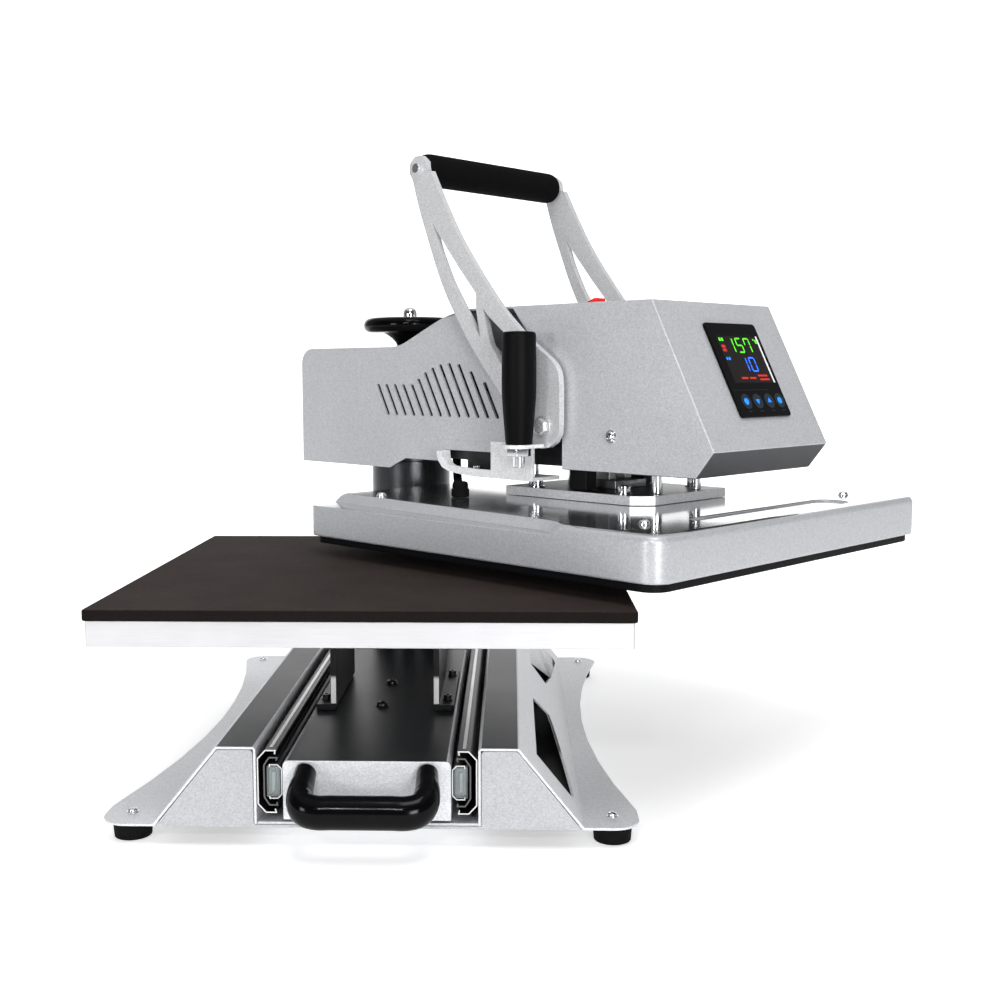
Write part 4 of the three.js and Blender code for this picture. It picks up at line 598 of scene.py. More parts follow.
class Shaper:
    """One mesh shaped by hand steps, in millimetres of the frame it is drawn in."""

    def __init__(self, shown: bpy.types.Object) -> None:
        """Holds the object that is being shaped."""
        self.shown = shown

    @staticmethod
    def clear() -> None:
        """Leaves edit mode with nothing selected."""
        if bpy.context.object and bpy.context.object.mode != "OBJECT":
            bpy.ops.object.mode_set(mode="OBJECT")
        bpy.ops.object.select_all(action="DESELECT")

    @classmethod
    def taken(cls, name: str) -> "Shaper":
        """Names the object that was just added."""
        shown = bpy.context.object
        shown.name = shown.data.name = name
        bpy.ops.object.transform_apply(location=True, rotation=True, scale=True)
        return cls(shown)

    @classmethod
    def block(cls, name: str, low: Point, high: Point) -> "Shaper":
        """Adds a box between two corners."""
        cls.clear()
        middle, size = (Vector(low) + Vector(high)) / 2, Vector(high) - Vector(low)
        bpy.ops.mesh.primitive_cube_add(size=1, location=middle, scale=size)
        return cls.taken(name)

    @classmethod
    def turned(cls, name: str, profile: Sequence[tuple[float, float]], sides: int = 64) -> "Shaper":
        """Raises a filled ring about the vertical axis through (radius, height) steps.

        Args:
            name: The piece's name.
            profile: The steps, from one end to the other.
            sides: The number of sides of the ring.

        Returns:
            The closed turned shape.
        """
        cls.clear()
        radius, height = profile[0]
        bpy.ops.mesh.primitive_circle_add(vertices=sides, radius=radius, fill_type="NGON",
                                          location=(0, 0, height))
        shape = cls.taken(name)
        bpy.ops.object.mode_set(mode="EDIT")
        bpy.ops.mesh.select_all(action="SELECT")
        for next_radius, next_height in profile[1:]:
            draw_on((0, 0, next_height - height))
            ratio = next_radius / radius
            if abs(ratio - 1) > 1e-6:
                bpy.ops.transform.resize(value=(ratio, ratio, 1),
                                         center_override=(0, 0, next_height))
            radius, height = next_radius, next_height
        bpy.ops.mesh.select_all(action="SELECT")
        bpy.ops.mesh.normals_make_consistent(inside=False)
        bpy.ops.object.mode_set(mode="OBJECT")
        return shape

    @classmethod
    def folded(cls, name: str, line: Sequence[tuple[float, float]], front: float, rear: float,
               sheet: float) -> "Shaper":
        """Folds a strip of sheet that runs from front to rear through (x, z) steps.

        Args:
            name: The piece's name.
            line: The middle line of the sheet's section.
            front: Where the strip starts.
            rear: Where it ends.
            sheet: Its thickness.

        Returns:
            The closed folded shape.
        """
        cls.clear()
        start = (line[0][0] + 0.5, (front + rear) / 2, line[0][1])
        bpy.ops.mesh.primitive_plane_add(size=1, location=start, scale=(1, 1, 1))
        shape = cls.taken(name)
        long = Matrix.Scale(rear - front, 4, Y)
        shape.moved(Matrix.Translation(start) @ long @ Matrix.Translation(-Vector(start)))
        folds = [(x2 - x1, z2 - z1) for (x1, z1), (x2, z2) in zip(line[1:], line[2:])]

        def fold() -> None:
            """Moves the far edge to its place and draws it on through the folds."""
            first = (line[1][0] - line[0][0] - 1, 0, line[1][1] - line[0][1])
            bpy.ops.transform.translate(value=first)
            for across, up in folds:
                draw_on((across, 0, up))

        shape.edit_edges(lambda a, b: min(a.x, b.x) > line[0][0] + 0.9, fold)
        shape.modify("SOLIDIFY", thickness=sheet, offset=0, use_even_offset=True)
        return shape.edit(lambda: bpy.ops.mesh.normals_make_consistent(inside=False))

    @classmethod
    def swept(cls, name: str, points: Sequence[Point], half: float, tall: float,
              sizes: Optional[Sequence[float]] = None, sides: int = 10) -> "Shaper":
        """Draws an oval section along a smooth line.

        Args:
            name: The piece's name.
            points: The line's points.
            half: The section's half width in the plane of the line.
            tall: Its half height, across that plane.
            sizes: The section's share of its full size at each point.
            sides: How fine the section is.

        Returns:
            The closed swept shape.
        """
        cls.clear()
        bpy.ops.curve.primitive_nurbs_circle_add(radius=1)
        section = bpy.context.object
        section.scale = (half, tall, 1)
        section.data.resolution_u = sides
        bpy.ops.object.transform_apply(location=False, rotation=False, scale=True)
        curve = bpy.data.curves.new(name, "CURVE")
        curve.dimensions = "3D"
        spline = curve.splines.new("BEZIER")
        spline.bezier_points.add(len(points) - 1)
        for index, (knot, at) in enumerate(zip(spline.bezier_points, points)):
            knot.co = at
            knot.handle_left_type = knot.handle_right_type = "AUTO"
            knot.radius = sizes[index] if sizes else 1.0
        curve.resolution_u = 10
        curve.bevel_mode = "OBJECT"
        curve.bevel_object = section
        curve.use_fill_caps = True
        curve.twist_mode = "Z_UP"
        shown = bpy.data.objects.new(name, curve)
        bpy.context.scene.collection.objects.link(shown)
        cls.clear()
        shape = cls(shown)
        shape.choose()
        bpy.ops.object.convert(target="MESH")
        shape = cls(bpy.context.object)
        bpy.data.objects.remove(section)
        shape.edit(lambda: (bpy.ops.mesh.remove_doubles(threshold=0.01),
                            bpy.ops.mesh.normals_make_consistent(inside=False)))
        return shape

    @classmethod
    def copy_of(cls, name: str, node: str) -> "Shaper":
        """Copies a CAD node's mesh and joins its loose triangles into faces."""
        mesh = frame["nodes"][node].data.copy()
        mesh.transform(Matrix.Scale(1 / MM, 4))
        shown = bpy.data.objects.new(name, mesh)
        bpy.context.scene.collection.objects.link(shown)
        shape = cls(shown)
        mesh.materials.clear()
        shape.edit(lambda: (bpy.ops.mesh.remove_doubles(threshold=WELD_GAP),
                            bpy.ops.mesh.dissolve_limited(angle_limit=math.radians(FLAT_ANGLE))))
        return shape

    def choose(self) -> None:
        """Makes this the one selected and active object."""
        self.clear()
        self.shown.select_set(True)
        bpy.context.view_layer.objects.active = self.shown

    def unpicked(self) -> bpy.types.Mesh:
        """Chooses this object and leaves nothing of its mesh selected.

        Returns:
            The object's mesh.
        """
        self.choose()
        mesh = self.shown.data
        for group in (mesh.vertices, mesh.edges, mesh.polygons):
            group.foreach_set("select", [False] * len(group))
        return mesh

    def edit(self, step: Callable[[], object]) -> "Shaper":
        """Runs a step in edit mode with everything selected."""
        self.choose()
        bpy.ops.object.mode_set(mode="EDIT")
        bpy.ops.mesh.select_all(action="SELECT")
        step()
        bpy.ops.object.mode_set(mode="OBJECT")
        return self

    def edit_edges(self, test: Callable[[Vector, Vector], bool],
                   step: Callable[[], object]) -> "Shaper":
        """Runs a step on the edges whose two ends pass a test."""
        mesh = self.unpicked()
        for edge in mesh.edges:
            first, second = (mesh.vertices[index].co for index in edge.vertices)
            if test(first, second):
                edge.select = True
                for index in edge.vertices:
                    mesh.vertices[index].select = True
        bpy.ops.object.mode_set(mode="EDIT")
        bpy.ops.mesh.select_mode(type="EDGE")
        step()
        bpy.ops.object.mode_set(mode="OBJECT")
        return self

    def sunk(self, test: Callable[[Vector], bool], rim: float, way: Point) -> "Shaper":
        """Insets the faces whose middle passes a test and pushes them in."""
        mesh = self.unpicked()
        for face in mesh.polygons:
            face.select = test(face.center)
        bpy.ops.object.mode_set(mode="EDIT")
        bpy.ops.mesh.select_mode(type="FACE")
        bpy.ops.mesh.inset(thickness=rim)
        bpy.ops.transform.translate(value=way)
        bpy.ops.object.mode_set(mode="OBJECT")
        return self

    def modify(self, kind: str, **settings: object) -> "Shaper":
        """Adds a modifier and applies it."""
        self.choose()
        made = self.shown.modifiers.new(kind.lower(), kind)
        for key, value in settings.items():
            setattr(made, key, value)
        bpy.ops.object.modifier_apply(modifier=made.name)
        return self

    def soften(self, width: float, segments: int = 2, angle: float = SHARP_ANGLE) -> "Shaper":
        """Rounds the edges sharper than an angle."""
        return self.modify("BEVEL", width=width, segments=segments, limit_method="ANGLE",
                           angle_limit=math.radians(angle), use_clamp_overlap=False,
                           miter_outer="MITER_ARC")

    def soften_outside(self, width: float, segments: int, spared: Callable[[Vector], bool],
                       angle: float = SHARP_ANGLE) -> "Shaper":
        """Rounds the sharp edges that have no end in a spared region."""
        self.choose()
        bpy.ops.object.mode_set(mode="EDIT")
        bpy.ops.mesh.select_mode(type="EDGE")
        bpy.ops.mesh.select_all(action="DESELECT")
        bpy.ops.mesh.edges_select_sharp(sharpness=math.radians(angle))
        bpy.ops.object.mode_set(mode="OBJECT")
        mesh = self.shown.data
        for edge in mesh.edges:
            held = any(spared(mesh.vertices[index].co) for index in edge.vertices)
            edge.select = edge.select and not held
        bpy.ops.object.mode_set(mode="EDIT")
        bpy.ops.mesh.bevel(offset=width, segments=segments, affect="EDGES", clamp_overlap=False)
        bpy.ops.object.mode_set(mode="OBJECT")
        return self

    def cut(self, tool: "Shaper") -> "Shaper":
        """Takes another shape out of this one."""
        self.modify("BOOLEAN", operation="DIFFERENCE", object=tool.shown, solver="EXACT")
        bpy.data.objects.remove(tool.shown)
        return self

    def joined(self, *others: "Shaper") -> "Shaper":
        """Puts other shapes into this mesh."""
        self.choose()
        for other in others:
            other.shown.select_set(True)
        bpy.ops.object.join()
        return self

    def copied(self, name: str) -> "Shaper":
        """Makes a copy with its own mesh."""
        shown = self.shown.copy()
        shown.data = self.shown.data.copy()
        shown.name = shown.data.name = name
        bpy.context.scene.collection.objects.link(shown)
        return Shaper(shown)

    def moved(self, matrix: Matrix) -> "Shaper":
        """Moves the mesh itself."""
        self.shown.data.transform(matrix)
        self.shown.data.update()
        return self

    def extent(self) -> tuple[Vector, Vector]:
        """Gives the lowest and highest corners."""
        points = [vertex.co for vertex in self.shown.data.vertices]
        low = Vector([min(point[axis] for point in points) for axis in range(3)])
        high = Vector([max(point[axis] for point in points) for axis in range(3)])
        return low, high

    def publish(self, finish: Finish, body: str, slot: str, place: Optional[Place] = Place.BENCH,
                replaces: Sequence[str] = (), smooth: float = 35) -> bpy.types.Object:
        """Finishes the shape and hands it to the model.

        Args:
            finish: The surface it shows.
            body: The moving body that carries it.
            slot: The record's material slot; not used.
            place: The frame it was drawn in.
            replaces: The CAD nodes that it stands for.
            smooth: Faces that meet below this angle, in degrees, shade as one surface.

        Returns:
            The finished object.
        """
        if place is not None:
            self.moved(place.matrix())
        self.choose()
        bpy.ops.object.shade_smooth_by_angle(angle=math.radians(smooth))
        self.modify("WEIGHTED_NORMAL", keep_sharp=True, weight=60)
        self.shown.data.materials.clear()
        self.shown.data.materials.append(finish.material())
        if replaces:
            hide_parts(*replaces)
        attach(self.shown, body)
        LOG.info("%s: %d faces on %s", self.shown.name, len(self.shown.data.polygons), body)
        return self.shown


@dataclass(frozen=True)
class Refined:
    """A CAD node shown again with eased edges and smooth shading."""

    node: str
    edge: float = 0.45
    segments: int = 2
    finish: Optional[Finish] = None
    tolerance: float = 0.02
    spared: Optional[Callable[[Vector], bool]] = None

    def build(self) -> bpy.types.Object:
        """Copies the node, eases its edges and puts it in the node's place.

        Returns:
            The finished object.
        """
        low, high = (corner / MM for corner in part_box(self.node))
        width = self.edge
        while True:
            shape = Shaper.copy_of(f"{self.node}_shown", self.node)
            if width > 0 and self.spared:
                shape.soften_outside(width, self.segments, self.spared)
            elif width > 0:
                shape.soften(width, self.segments)
            new_low, new_high = shape.extent()
            slack = self.tolerance
            inside = all(new_low[axis] >= low[axis] - slack and new_high[axis] <= high[axis] + slack
                         for axis in range(3))
            if inside or width <= 0:
                break
            LOG.info("%s: edge %.2f reaches out of its box", self.node, width)
            bpy.data.objects.remove(shape.shown)
            width = width / 2 if width > 0.1 else 0
        slot = NODE_SLOT[self.node]
        shape.moved(Matrix.Scale(MM, 4))
        finish = self.finish or SLOT_FINISH[slot]
        return shape.publish(finish, NODE_BODY[self.node], slot, None, (self.node,))


# Fasteners


class Head(Enum):
    """The heads of the small screws."""

    PAN = "pan"
    CAP = "cap"
    HEX = "hex"


@dataclass
class Fasteners:
    """Makes each screw head once and copies it."""

    sides: int = 24

    def __post_init__(self) -> None:
        """Starts with no master shapes."""
        self.masters: dict[tuple[Head, float], Shaper] = {}

    def master(self, head: Head, radius: float) -> Shaper:
        """Gives the master of a head, which stands on the origin along +Z."""
        key = (head, radius)
        if key not in self.masters:
            maker = {Head.PAN: self.pan, Head.CAP: self.cap, Head.HEX: self.hexagon}[head]
            self.masters[key] = maker(radius)
        return self.masters[key]

    def pan(self, radius: float) -> Shaper:
        """Shapes a domed head with a cross recess, on a thin washer."""
        dome = [(1.25 * radius, 0), (1.25 * radius, 0.14 * radius), (radius, 0.14 * radius),
                (radius, 0.4 * radius), (0.93 * radius, 0.58 * radius),
                (0.75 * radius, 0.72 * radius), (0.45 * radius, 0.8 * radius)]
        shape = Shaper.turned("pan_head", dome, self.sides)
        for turn in (0, math.pi / 2):
            slot = Shaper.block("slot", (-0.55 * radius, -0.09 * radius, 0.45 * radius),
                                (0.55 * radius, 0.09 * radius, radius))
            shape.cut(slot.moved(Matrix.Rotation(turn + 0.3, 4, "Z")))
        return shape.soften(0.04 * radius, 1)

    def cap(self, radius: float) -> Shaper:
        """Shapes a tall round head with a six-sided socket, on a washer."""
        steps = [(1.3 * radius, 0), (1.3 * radius, 0.22 * radius), (radius, 0.22 * radius),
                 (radius, 1.2 * radius), (0.93 * radius, 1.28 * radius)]
        shape = Shaper.turned("cap_head", steps, self.sides)
        socket = Shaper.turned("socket",
                               [(0.55 * radius, 0.65 * radius), (0.55 * radius, 2 * radius)], 6)
        return shape.cut(socket).soften(0.05 * radius, 1)

    def hexagon(self, radius: float) -> Shaper:
        """Shapes a six-sided head on a washer."""
        washer = Shaper.turned("washer", [(1.3 * radius, 0), (1.3 * radius, 0.2 * radius)],
                               self.sides)
        head = Shaper.turned("hex_head", [(radius, 0.2 * radius), (radius, 0.8 * radius),
                                          (0.88 * radius, 0.9 * radius)], 6)
        return washer.joined(head).soften(0.04 * radius, 1)

    def place(self, name: str, head: Head, radius: float, at: Point, axis: Vector, body: str,
              place: Place = Place.BENCH, finish: Finish = CHROME,
              slot: str = "chrome") -> bpy.types.Object:
        """Copies a head onto a surface.

        Args:
            name: The piece's name.
            head: The kind of head.
            radius: The head's radius.
            at: The point of the surface under its middle.
            axis: The way it stands out.
            body: The body that carries it.
            place: The frame of the point and the axis.
            finish: Its finish.
            slot: Its material slot.

        Returns:
            The finished object.
        """
        shape = self.master(head, radius).copied(name)
        turn = axis.to_track_quat("Z", "Y").to_matrix().to_4x4()
        shape.moved(Matrix.Translation(at) @ turn)
        return shape.publish(finish, body, slot, place)

    def put_away(self) -> None:
        """Removes the master shapes."""
        for master in self.masters.values():
            bpy.data.objects.remove(master.shown)


# Sub-assemblies


@dataclass
class Slide:
    """One ball slide: three nested rails rolled from sheet, with a clear end buffer."""

    side: str
    wall: float = 81
    level: float = 50.1
    front: float = -149
    rear: float = 247

    def across(self, off: float) -> float:
        """Gives the x of a step off the wall."""
        return (-1 if self.side == "left" else 1) * (self.wall - off)

    def line(self, half: Sequence[tuple[float, float]]) -> list[tuple[float, float]]:
        """Mirrors the upper half of a section onto the lower half and onto this side.

        Args:
            half: The upper half as (step off the wall, height over the slide's middle).

        Returns:
            The whole line as (x, z).
        """
        whole = list(half) + [(off, -up) for off, up in reversed(half)]
        return [(self.across(off), self.level + up) for off, up in whole]

    def outer(self) -> None:
        """Rolls the rail that is screwed to the side frame, and lays a thin bright strip on its top as a painted
        highlight of its lip.
        """
        line = self.line([(13.4, 20.6), (14, 23.3), (6.6, 23.3), (0.8, 17)])
        rail = Shaper.folded(f"rolled_outer_{self.side}", line, self.front, self.rear, 1.0)
        rail.publish(RAIL_SHEET, "base", "steel", Place.BENCH, (f"slide_outer_{self.side}",),
                     smooth=50)
        # Painted highlight: a thin bright metal strip laid along the black rail's top.
        low_x, high_x = sorted((self.across(8.6), self.across(11.2)))
        lip = Shaper.block(f"rail_highlight_strip_{self.side}", (low_x, self.front + 6, self.level + 23.9),
                           (high_x, self.rear, self.level + 24.1))
        lip.edit_edges(lambda a, b: abs(a.y - b.y) > 1 and a.z > self.level + 24,
                       lambda: bpy.ops.mesh.bevel(offset=0.12, segments=2, affect="EDGES"))
        lip.publish(RAIL_HIGHLIGHT, "base", "steel")

    def middle(self) -> None:
        """Rolls the rail between the other two."""
        line = self.line([(14.6, 15.6), (15, 17.8), (9.2, 17.8), (5.4, 12)])
        rail = Shaper.folded(f"rolled_middle_{self.side}", line, self.front + 0.3, self.rear, 1.1)
        rail.publish(DIM_SHEET, "slide_middles", "steel", Place.BENCH,
                     (f"slide_middle_{self.side}",), smooth=50)

    def inner(self) -> None:
        """Rolls the rail that carries the drawer."""
        line = self.line([(9.4, 10.8), (9.6, 12.6), (15.4, 12.6), (18.4, 9.6)])
        rail = Shaper.folded(f"rolled_inner_{self.side}", line, self.front, self.rear, 0.8)
        rail.publish(RAIL_SHEET, "drawer", "steel", Place.BENCH, (f"slide_inner_{self.side}",),
                     smooth=50)

    def buffer(self) -> None:
        """Moulds the clear end buffer with a sunk face and a latch tongue."""
        low_x, high_x = sorted((self.across(7.4), self.across(17.2)))
        low, high = (low_x, self.front, 38.7), (high_x, self.front + 7, 61.5)
        buffer = Shaper.block(f"clear_buffer_{self.side}", low, high)
        buffer.sunk(lambda centre: centre.y < self.front + 0.1, 1.3, (0, 2.4, 0)).soften(0.35, 2)
        middle = (low_x + high_x) / 2
        tongue = Shaper.block("tongue", (middle - 1.1, self.front + 0.4, 43),
                              (middle + 1.3, self.front + 4, 57.4))
        tongue.soften(0.5, 2)
        buffer.joined(tongue)
        buffer.publish(CLEAR, "drawer", "clear_plastic", Place.BENCH,
                       (f"slide_buffer_{self.side}",))


@dataclass
class Base:
    """The folded base, its feet, the outer slides and the swing post."""

    foot_pitch: float = 362
    foot_front: float = -125
    foot_rear: float = 366.4
    wing_top: float = 17.5
    post_radius: float = 35.5
    stem_radius: float = 40.5
    flange_radius: float = 54
    collar_radius: float = 42
    bolt_circle: float = 47
    bolts: int = 6
    shade_sheet_near: float = 83.6
    shade_sheet_far: float = 157
    shade_sheet_front: float = -145.5
    shade_sheet_rear: float = 380
    shade_sheet_low: float = 17.8
    shade_sheet_top: float = 18.6
    shade_sheet_rim: float = 6.0
    shade_sheet_reach: float = 90
    edge: float = 0.5

    def build(self, screws: Fasteners) -> None:
        """Builds the pieces that stand on the bench."""
        for side, _ in SIDES:
            Refined(f"side_frame_{side}", self.edge, finish=SHADED_PAINT).build()
            Slide(side).outer()
        Refined("base_floor", self.edge).build()
        Refined("front_plate", self.edge, finish=FRONT_PAINT).build()
        Refined("rear_plate", self.edge).build()
        self.shade_sheets()
        self.feet(screws)
        self.post(screws)

    def shade_sheets(self) -> None:
        """Lays a black folded sheet in the bottom of each side box as painted shade for the inside of the box."""
        for side, sign in SIDES:
            low_x, high_x = sorted((sign * self.shade_sheet_near, sign * self.shade_sheet_far))
            sheet = Shaper.block(f"box_shade_sheet_{side}", (low_x, self.shade_sheet_front, self.shade_sheet_low),
                                 (high_x, self.shade_sheet_rear, self.shade_sheet_top))
            sheet.edit_edges(self.on_near_edge, self.raise_rim)
            sheet.modify("SOLIDIFY", thickness=0.2, offset=0)
            # Painted shade: the sheet's matt black stands in for the shade inside the side box.
            sheet.publish(MATT_BLACK, "base", "matte_black")

    def on_near_edge(self, first: Vector, second: Vector) -> bool:
        """Tells the top edge of a shade sheet that runs along the slides."""
        level = min(first.z, second.z) > self.shade_sheet_top - 0.1
        return level and abs(first.x - second.x) < 1 and abs(first.x) < self.shade_sheet_reach

    def raise_rim(self) -> None:
        """Folds the selected edge of a shade sheet up."""
        draw_on((0, 0, self.shade_sheet_rim))

    def feet(self, screws: Fasteners) -> None:
        """Turns the rubber feet and sets a screw over each."""
        low = [(9.5, 3.2), (9.5, 0.6), (10.2, 0), (13.4, 0), (13.9, 0.5), (14.3, 5.2), (14.7, 11.2),
               (15, 13.6), (14.7, 14.8), (13.6, 15.2)]
        for end, y in (("front", self.foot_front), ("rear", self.foot_rear)):
            for side, sign in SIDES:
                at = (sign * self.foot_pitch / 2, y, 0)
                foot = Shaper.turned(f"rubber_foot_{end}_{side}", low, 56)
                foot.moved(Matrix.Translation(at)).publish(RUBBER, "base", "black_rubber",
                                                           Place.BENCH, (f"foot_{end}_{side}",))
                screws.place(f"foot_screw_{end}_{side}", Head.PAN, 3.6, (at[0], y, self.wing_top),
                             Z, "base")

    def post(self, screws: Fasteners) -> None:
        """Turns the swing post and bolts its flange down."""
        floor, flange = 20.4, 29.4
        collar, collar_top, top = 256.9, 261.9, 305.7
        ease = 0.6
        steps = [(self.flange_radius - 0.8, floor), (self.flange_radius, floor + 0.8),
                 (self.flange_radius, flange - 1), (self.flange_radius - 1, flange),
                 (self.stem_radius + 1.6, flange), (self.stem_radius + 0.5, flange + 0.5),
                 (self.stem_radius, flange + 1.6), (self.stem_radius, collar - 0.6),
                 (self.stem_radius + 0.4, collar), (self.collar_radius - ease, collar),
                 (self.collar_radius, collar + ease), (self.collar_radius, collar_top - ease),
                 (self.collar_radius - ease, collar_top), (self.post_radius, collar_top),
                 (self.post_radius, top - 1), (self.post_radius - 1, top)]
        reach = ARM_REACH / MM
        post = Shaper.turned("turned_swing_post", steps, 96)
        post.moved(Matrix.Translation((0, reach, 0))).publish(POST_STEEL, "base", "silver_paint",
                                                              Place.BENCH, ("swing_post",))
        Refined("thrust_washer", 0.3).build()
        for index in range(self.bolts):
            turn = math.tau * (index + 0.5) / self.bolts
            across, along = self.bolt_circle * math.cos(turn), self.bolt_circle * math.sin(turn)
            at = (across, reach + along, flange)
            screws.place(f"post_bolt_{index + 1}", Head.HEX, 3.6, at, Z, "base", finish=STEEL,
                         slot="steel")


@dataclass
class Drawer:
    """The draw-out carriage, its slides and handle, and the lower platen."""

    handle_half: float = 9.9
    handle_tall: float = 12.3
    handle_tilt: float = 27
    carriage_top: float = 66.5
    bracket_sheet: float = 5.3
    bracket_bolt_x: float = 51.5

    def build(self, screws: Fasteners) -> None:
        """Builds the pieces that slide."""
        for side, _ in SIDES:
            slide = Slide(side)
            slide.middle()
            slide.inner()
            slide.buffer()
            Refined(f"platen_bracket_{side}", 0.5, finish=BRACKET_SHEET).build()
        Refined("drawer_carriage", 0.8, 3, SHADED_PAINT).build()
        Refined("lower_platen", 0.7, 3).build()
        Refined("silicone_pad", 1.2, 3).build()
        self.handle()
        self.screws(screws)

    def handle(self) -> None:
        """Sweeps the bow handle out of its two legs."""
        tilt = math.radians(self.handle_tilt)
        out = Vector((0, -math.cos(tilt), -math.sin(tilt)))
        root = Vector((0, -151.3, 57.5))
        half_path = [(44.5, 0, 0.8), (45, 10, 0.85), (45.5, 20, 0.95), (44.5, 28, 1), (41, 34.5, 1),
                     (34, 37.7, 1), (20, 38, 1)]
        left = [(-x, s, size) for x, s, size in half_path]
        path = left + [(0, 38, 1)] + list(reversed(half_path))
        points = [tuple(root + X * x + out * s) for x, s, _ in path]
        bow = Shaper.swept("moulded_handle", points, self.handle_half, self.handle_tall,
                           [size for *_, size in path], 14)
        bow.publish(GLOSS_BLACK, "drawer", "gloss_black", Place.BENCH, ("drawer_handle",),
                    smooth=60)

    def screws(self, screws: Fasteners) -> None:
        """Sets the screws of the carriage and the brackets."""
        for index, (x, y) in enumerate([(-4, -2), (-3, 72)]):
            screws.place(f"carriage_screw_{index + 1}", Head.PAN, 4.6, (x, y, self.carriage_top), Z,
                         "drawer", finish=DARK_STEEL, slot="dark_steel")
        leaf = self.carriage_top + self.bracket_sheet
        for side, sign in SIDES:
            for index, y in enumerate((0, 84)):
                at = (sign * self.bracket_bolt_x, y, leaf)
                screws.place(f"bracket_screw_{side}_{index + 1}", Head.CAP, 3.4, at, Z, "drawer",
                             finish=DARK_STEEL, slot="dark_steel")


@dataclass
class Arm:
    """The welded arm, its housings, the swing grip and the mains parts."""

    shell_edge: float = 0.9
    wall: float = 84
    grip_at: tuple[float, float] = (-113.5, -259.5)
    grip_foot: float = 287.8
    lip_front: float = -205
    lip_rear: float = -139.5
    lip_low: float = 276.8
    lip_high: float = 286
    lip_sheet: float = 1.4
    inlet_middle: float = 38
    inlet_pitch: float = 33.2
    vent_front: float = -246
    vent_rear: float = -58
    vent_low: float = 302
    vent_high: float = 360

    def __post_init__(self) -> None:
        """Works out the step from the row frame to the arm's."""
        self.to_arm = Place.ARM.matrix().inverted()

    def build(self, screws: Fasteners) -> None:
        """Builds the pieces that swing with the arm."""
        Refined("arm_frame", 0.4, 1).build()
        Refined("rear_housing", 0.3, 2, spared=self.near_vents).build()
        Refined("control_box", self.shell_edge, 3, BOX_PAINT).build()
        Refined("power_inlet", 0.3, 1).build()
        Refined("swing_bracket", 0.6, 3, PALE_PAINT).build()
        Refined("grip_stud", 0.4, 2).build()
        self.grip()
        self.apron()
        self.screws(screws)

    def near_vents(self, point: Vector) -> bool:
        """Tells the vents, whose many edges stay as cut, from the rest of the rear housing."""
        seen = self.to_arm @ (point * MM)
        return self.vent_front < seen.y < self.vent_rear and self.vent_low < seen.z < self.vent_high

    def grip(self) -> None:
        """Turns the upright swing grip."""
        base = self.grip_foot
        steps = [(5.4, base), (10.9, base), (11.3, base + 0.5), (11.8, base + 8), (12.7, base + 18),
                 (13.6, base + 29), (14.3, base + 41), (14.5, base + 52), (14.4, base + 67),
                 (14.1, base + 82), (14, base + 90), (13.7, base + 91.6), (12.9, base + 92.6),
                 (11.8, base + 93), (6, base + 93.4), (1, base + 93.5)]
        grip = Shaper.turned("moulded_swing_grip", steps, 64)
        grip.moved(Matrix.Translation((*self.grip_at, 0)))
        grip.publish(GRIP_BLACK, "arm", "gloss_black", Place.ARM, ("swing_grip",), smooth=50)

    def apron(self) -> None:
        """Hangs the housing's lower lip over the swing bracket."""
        lip = Shaper.block("housing_lip", (-self.wall, self.lip_front, self.lip_low),
                           (-self.wall + self.lip_sheet, self.lip_rear, self.lip_high))
        lip.publish(SILVER, "arm", "silver_paint", Place.ARM)

    def screws(self, screws: Fasteners) -> None:
        """Sets the screws of the shells, the inlet and the bracket."""
        for side, sign in SIDES:
            at = (sign * self.wall, -333.5, 295.5)
            screws.place(f"box_screw_{side}", Head.PAN, 4.4, at, sign * X, "arm", Place.ARM)
            at = (self.inlet_middle + sign * self.inlet_pitch / 2, 77.3, 302)
            screws.place(f"inlet_screw_{side}", Head.PAN, 2.2, at, Y, "arm", Place.ARM,
                         finish=STEEL, slot="steel")
        for index, y in enumerate((-198, -176)):
            at = (-78.5, y, 258.6)
            screws.place(f"bracket_bolt_{index + 1}", Head.CAP, 3.8, at, Z, "arm", Place.ARM)


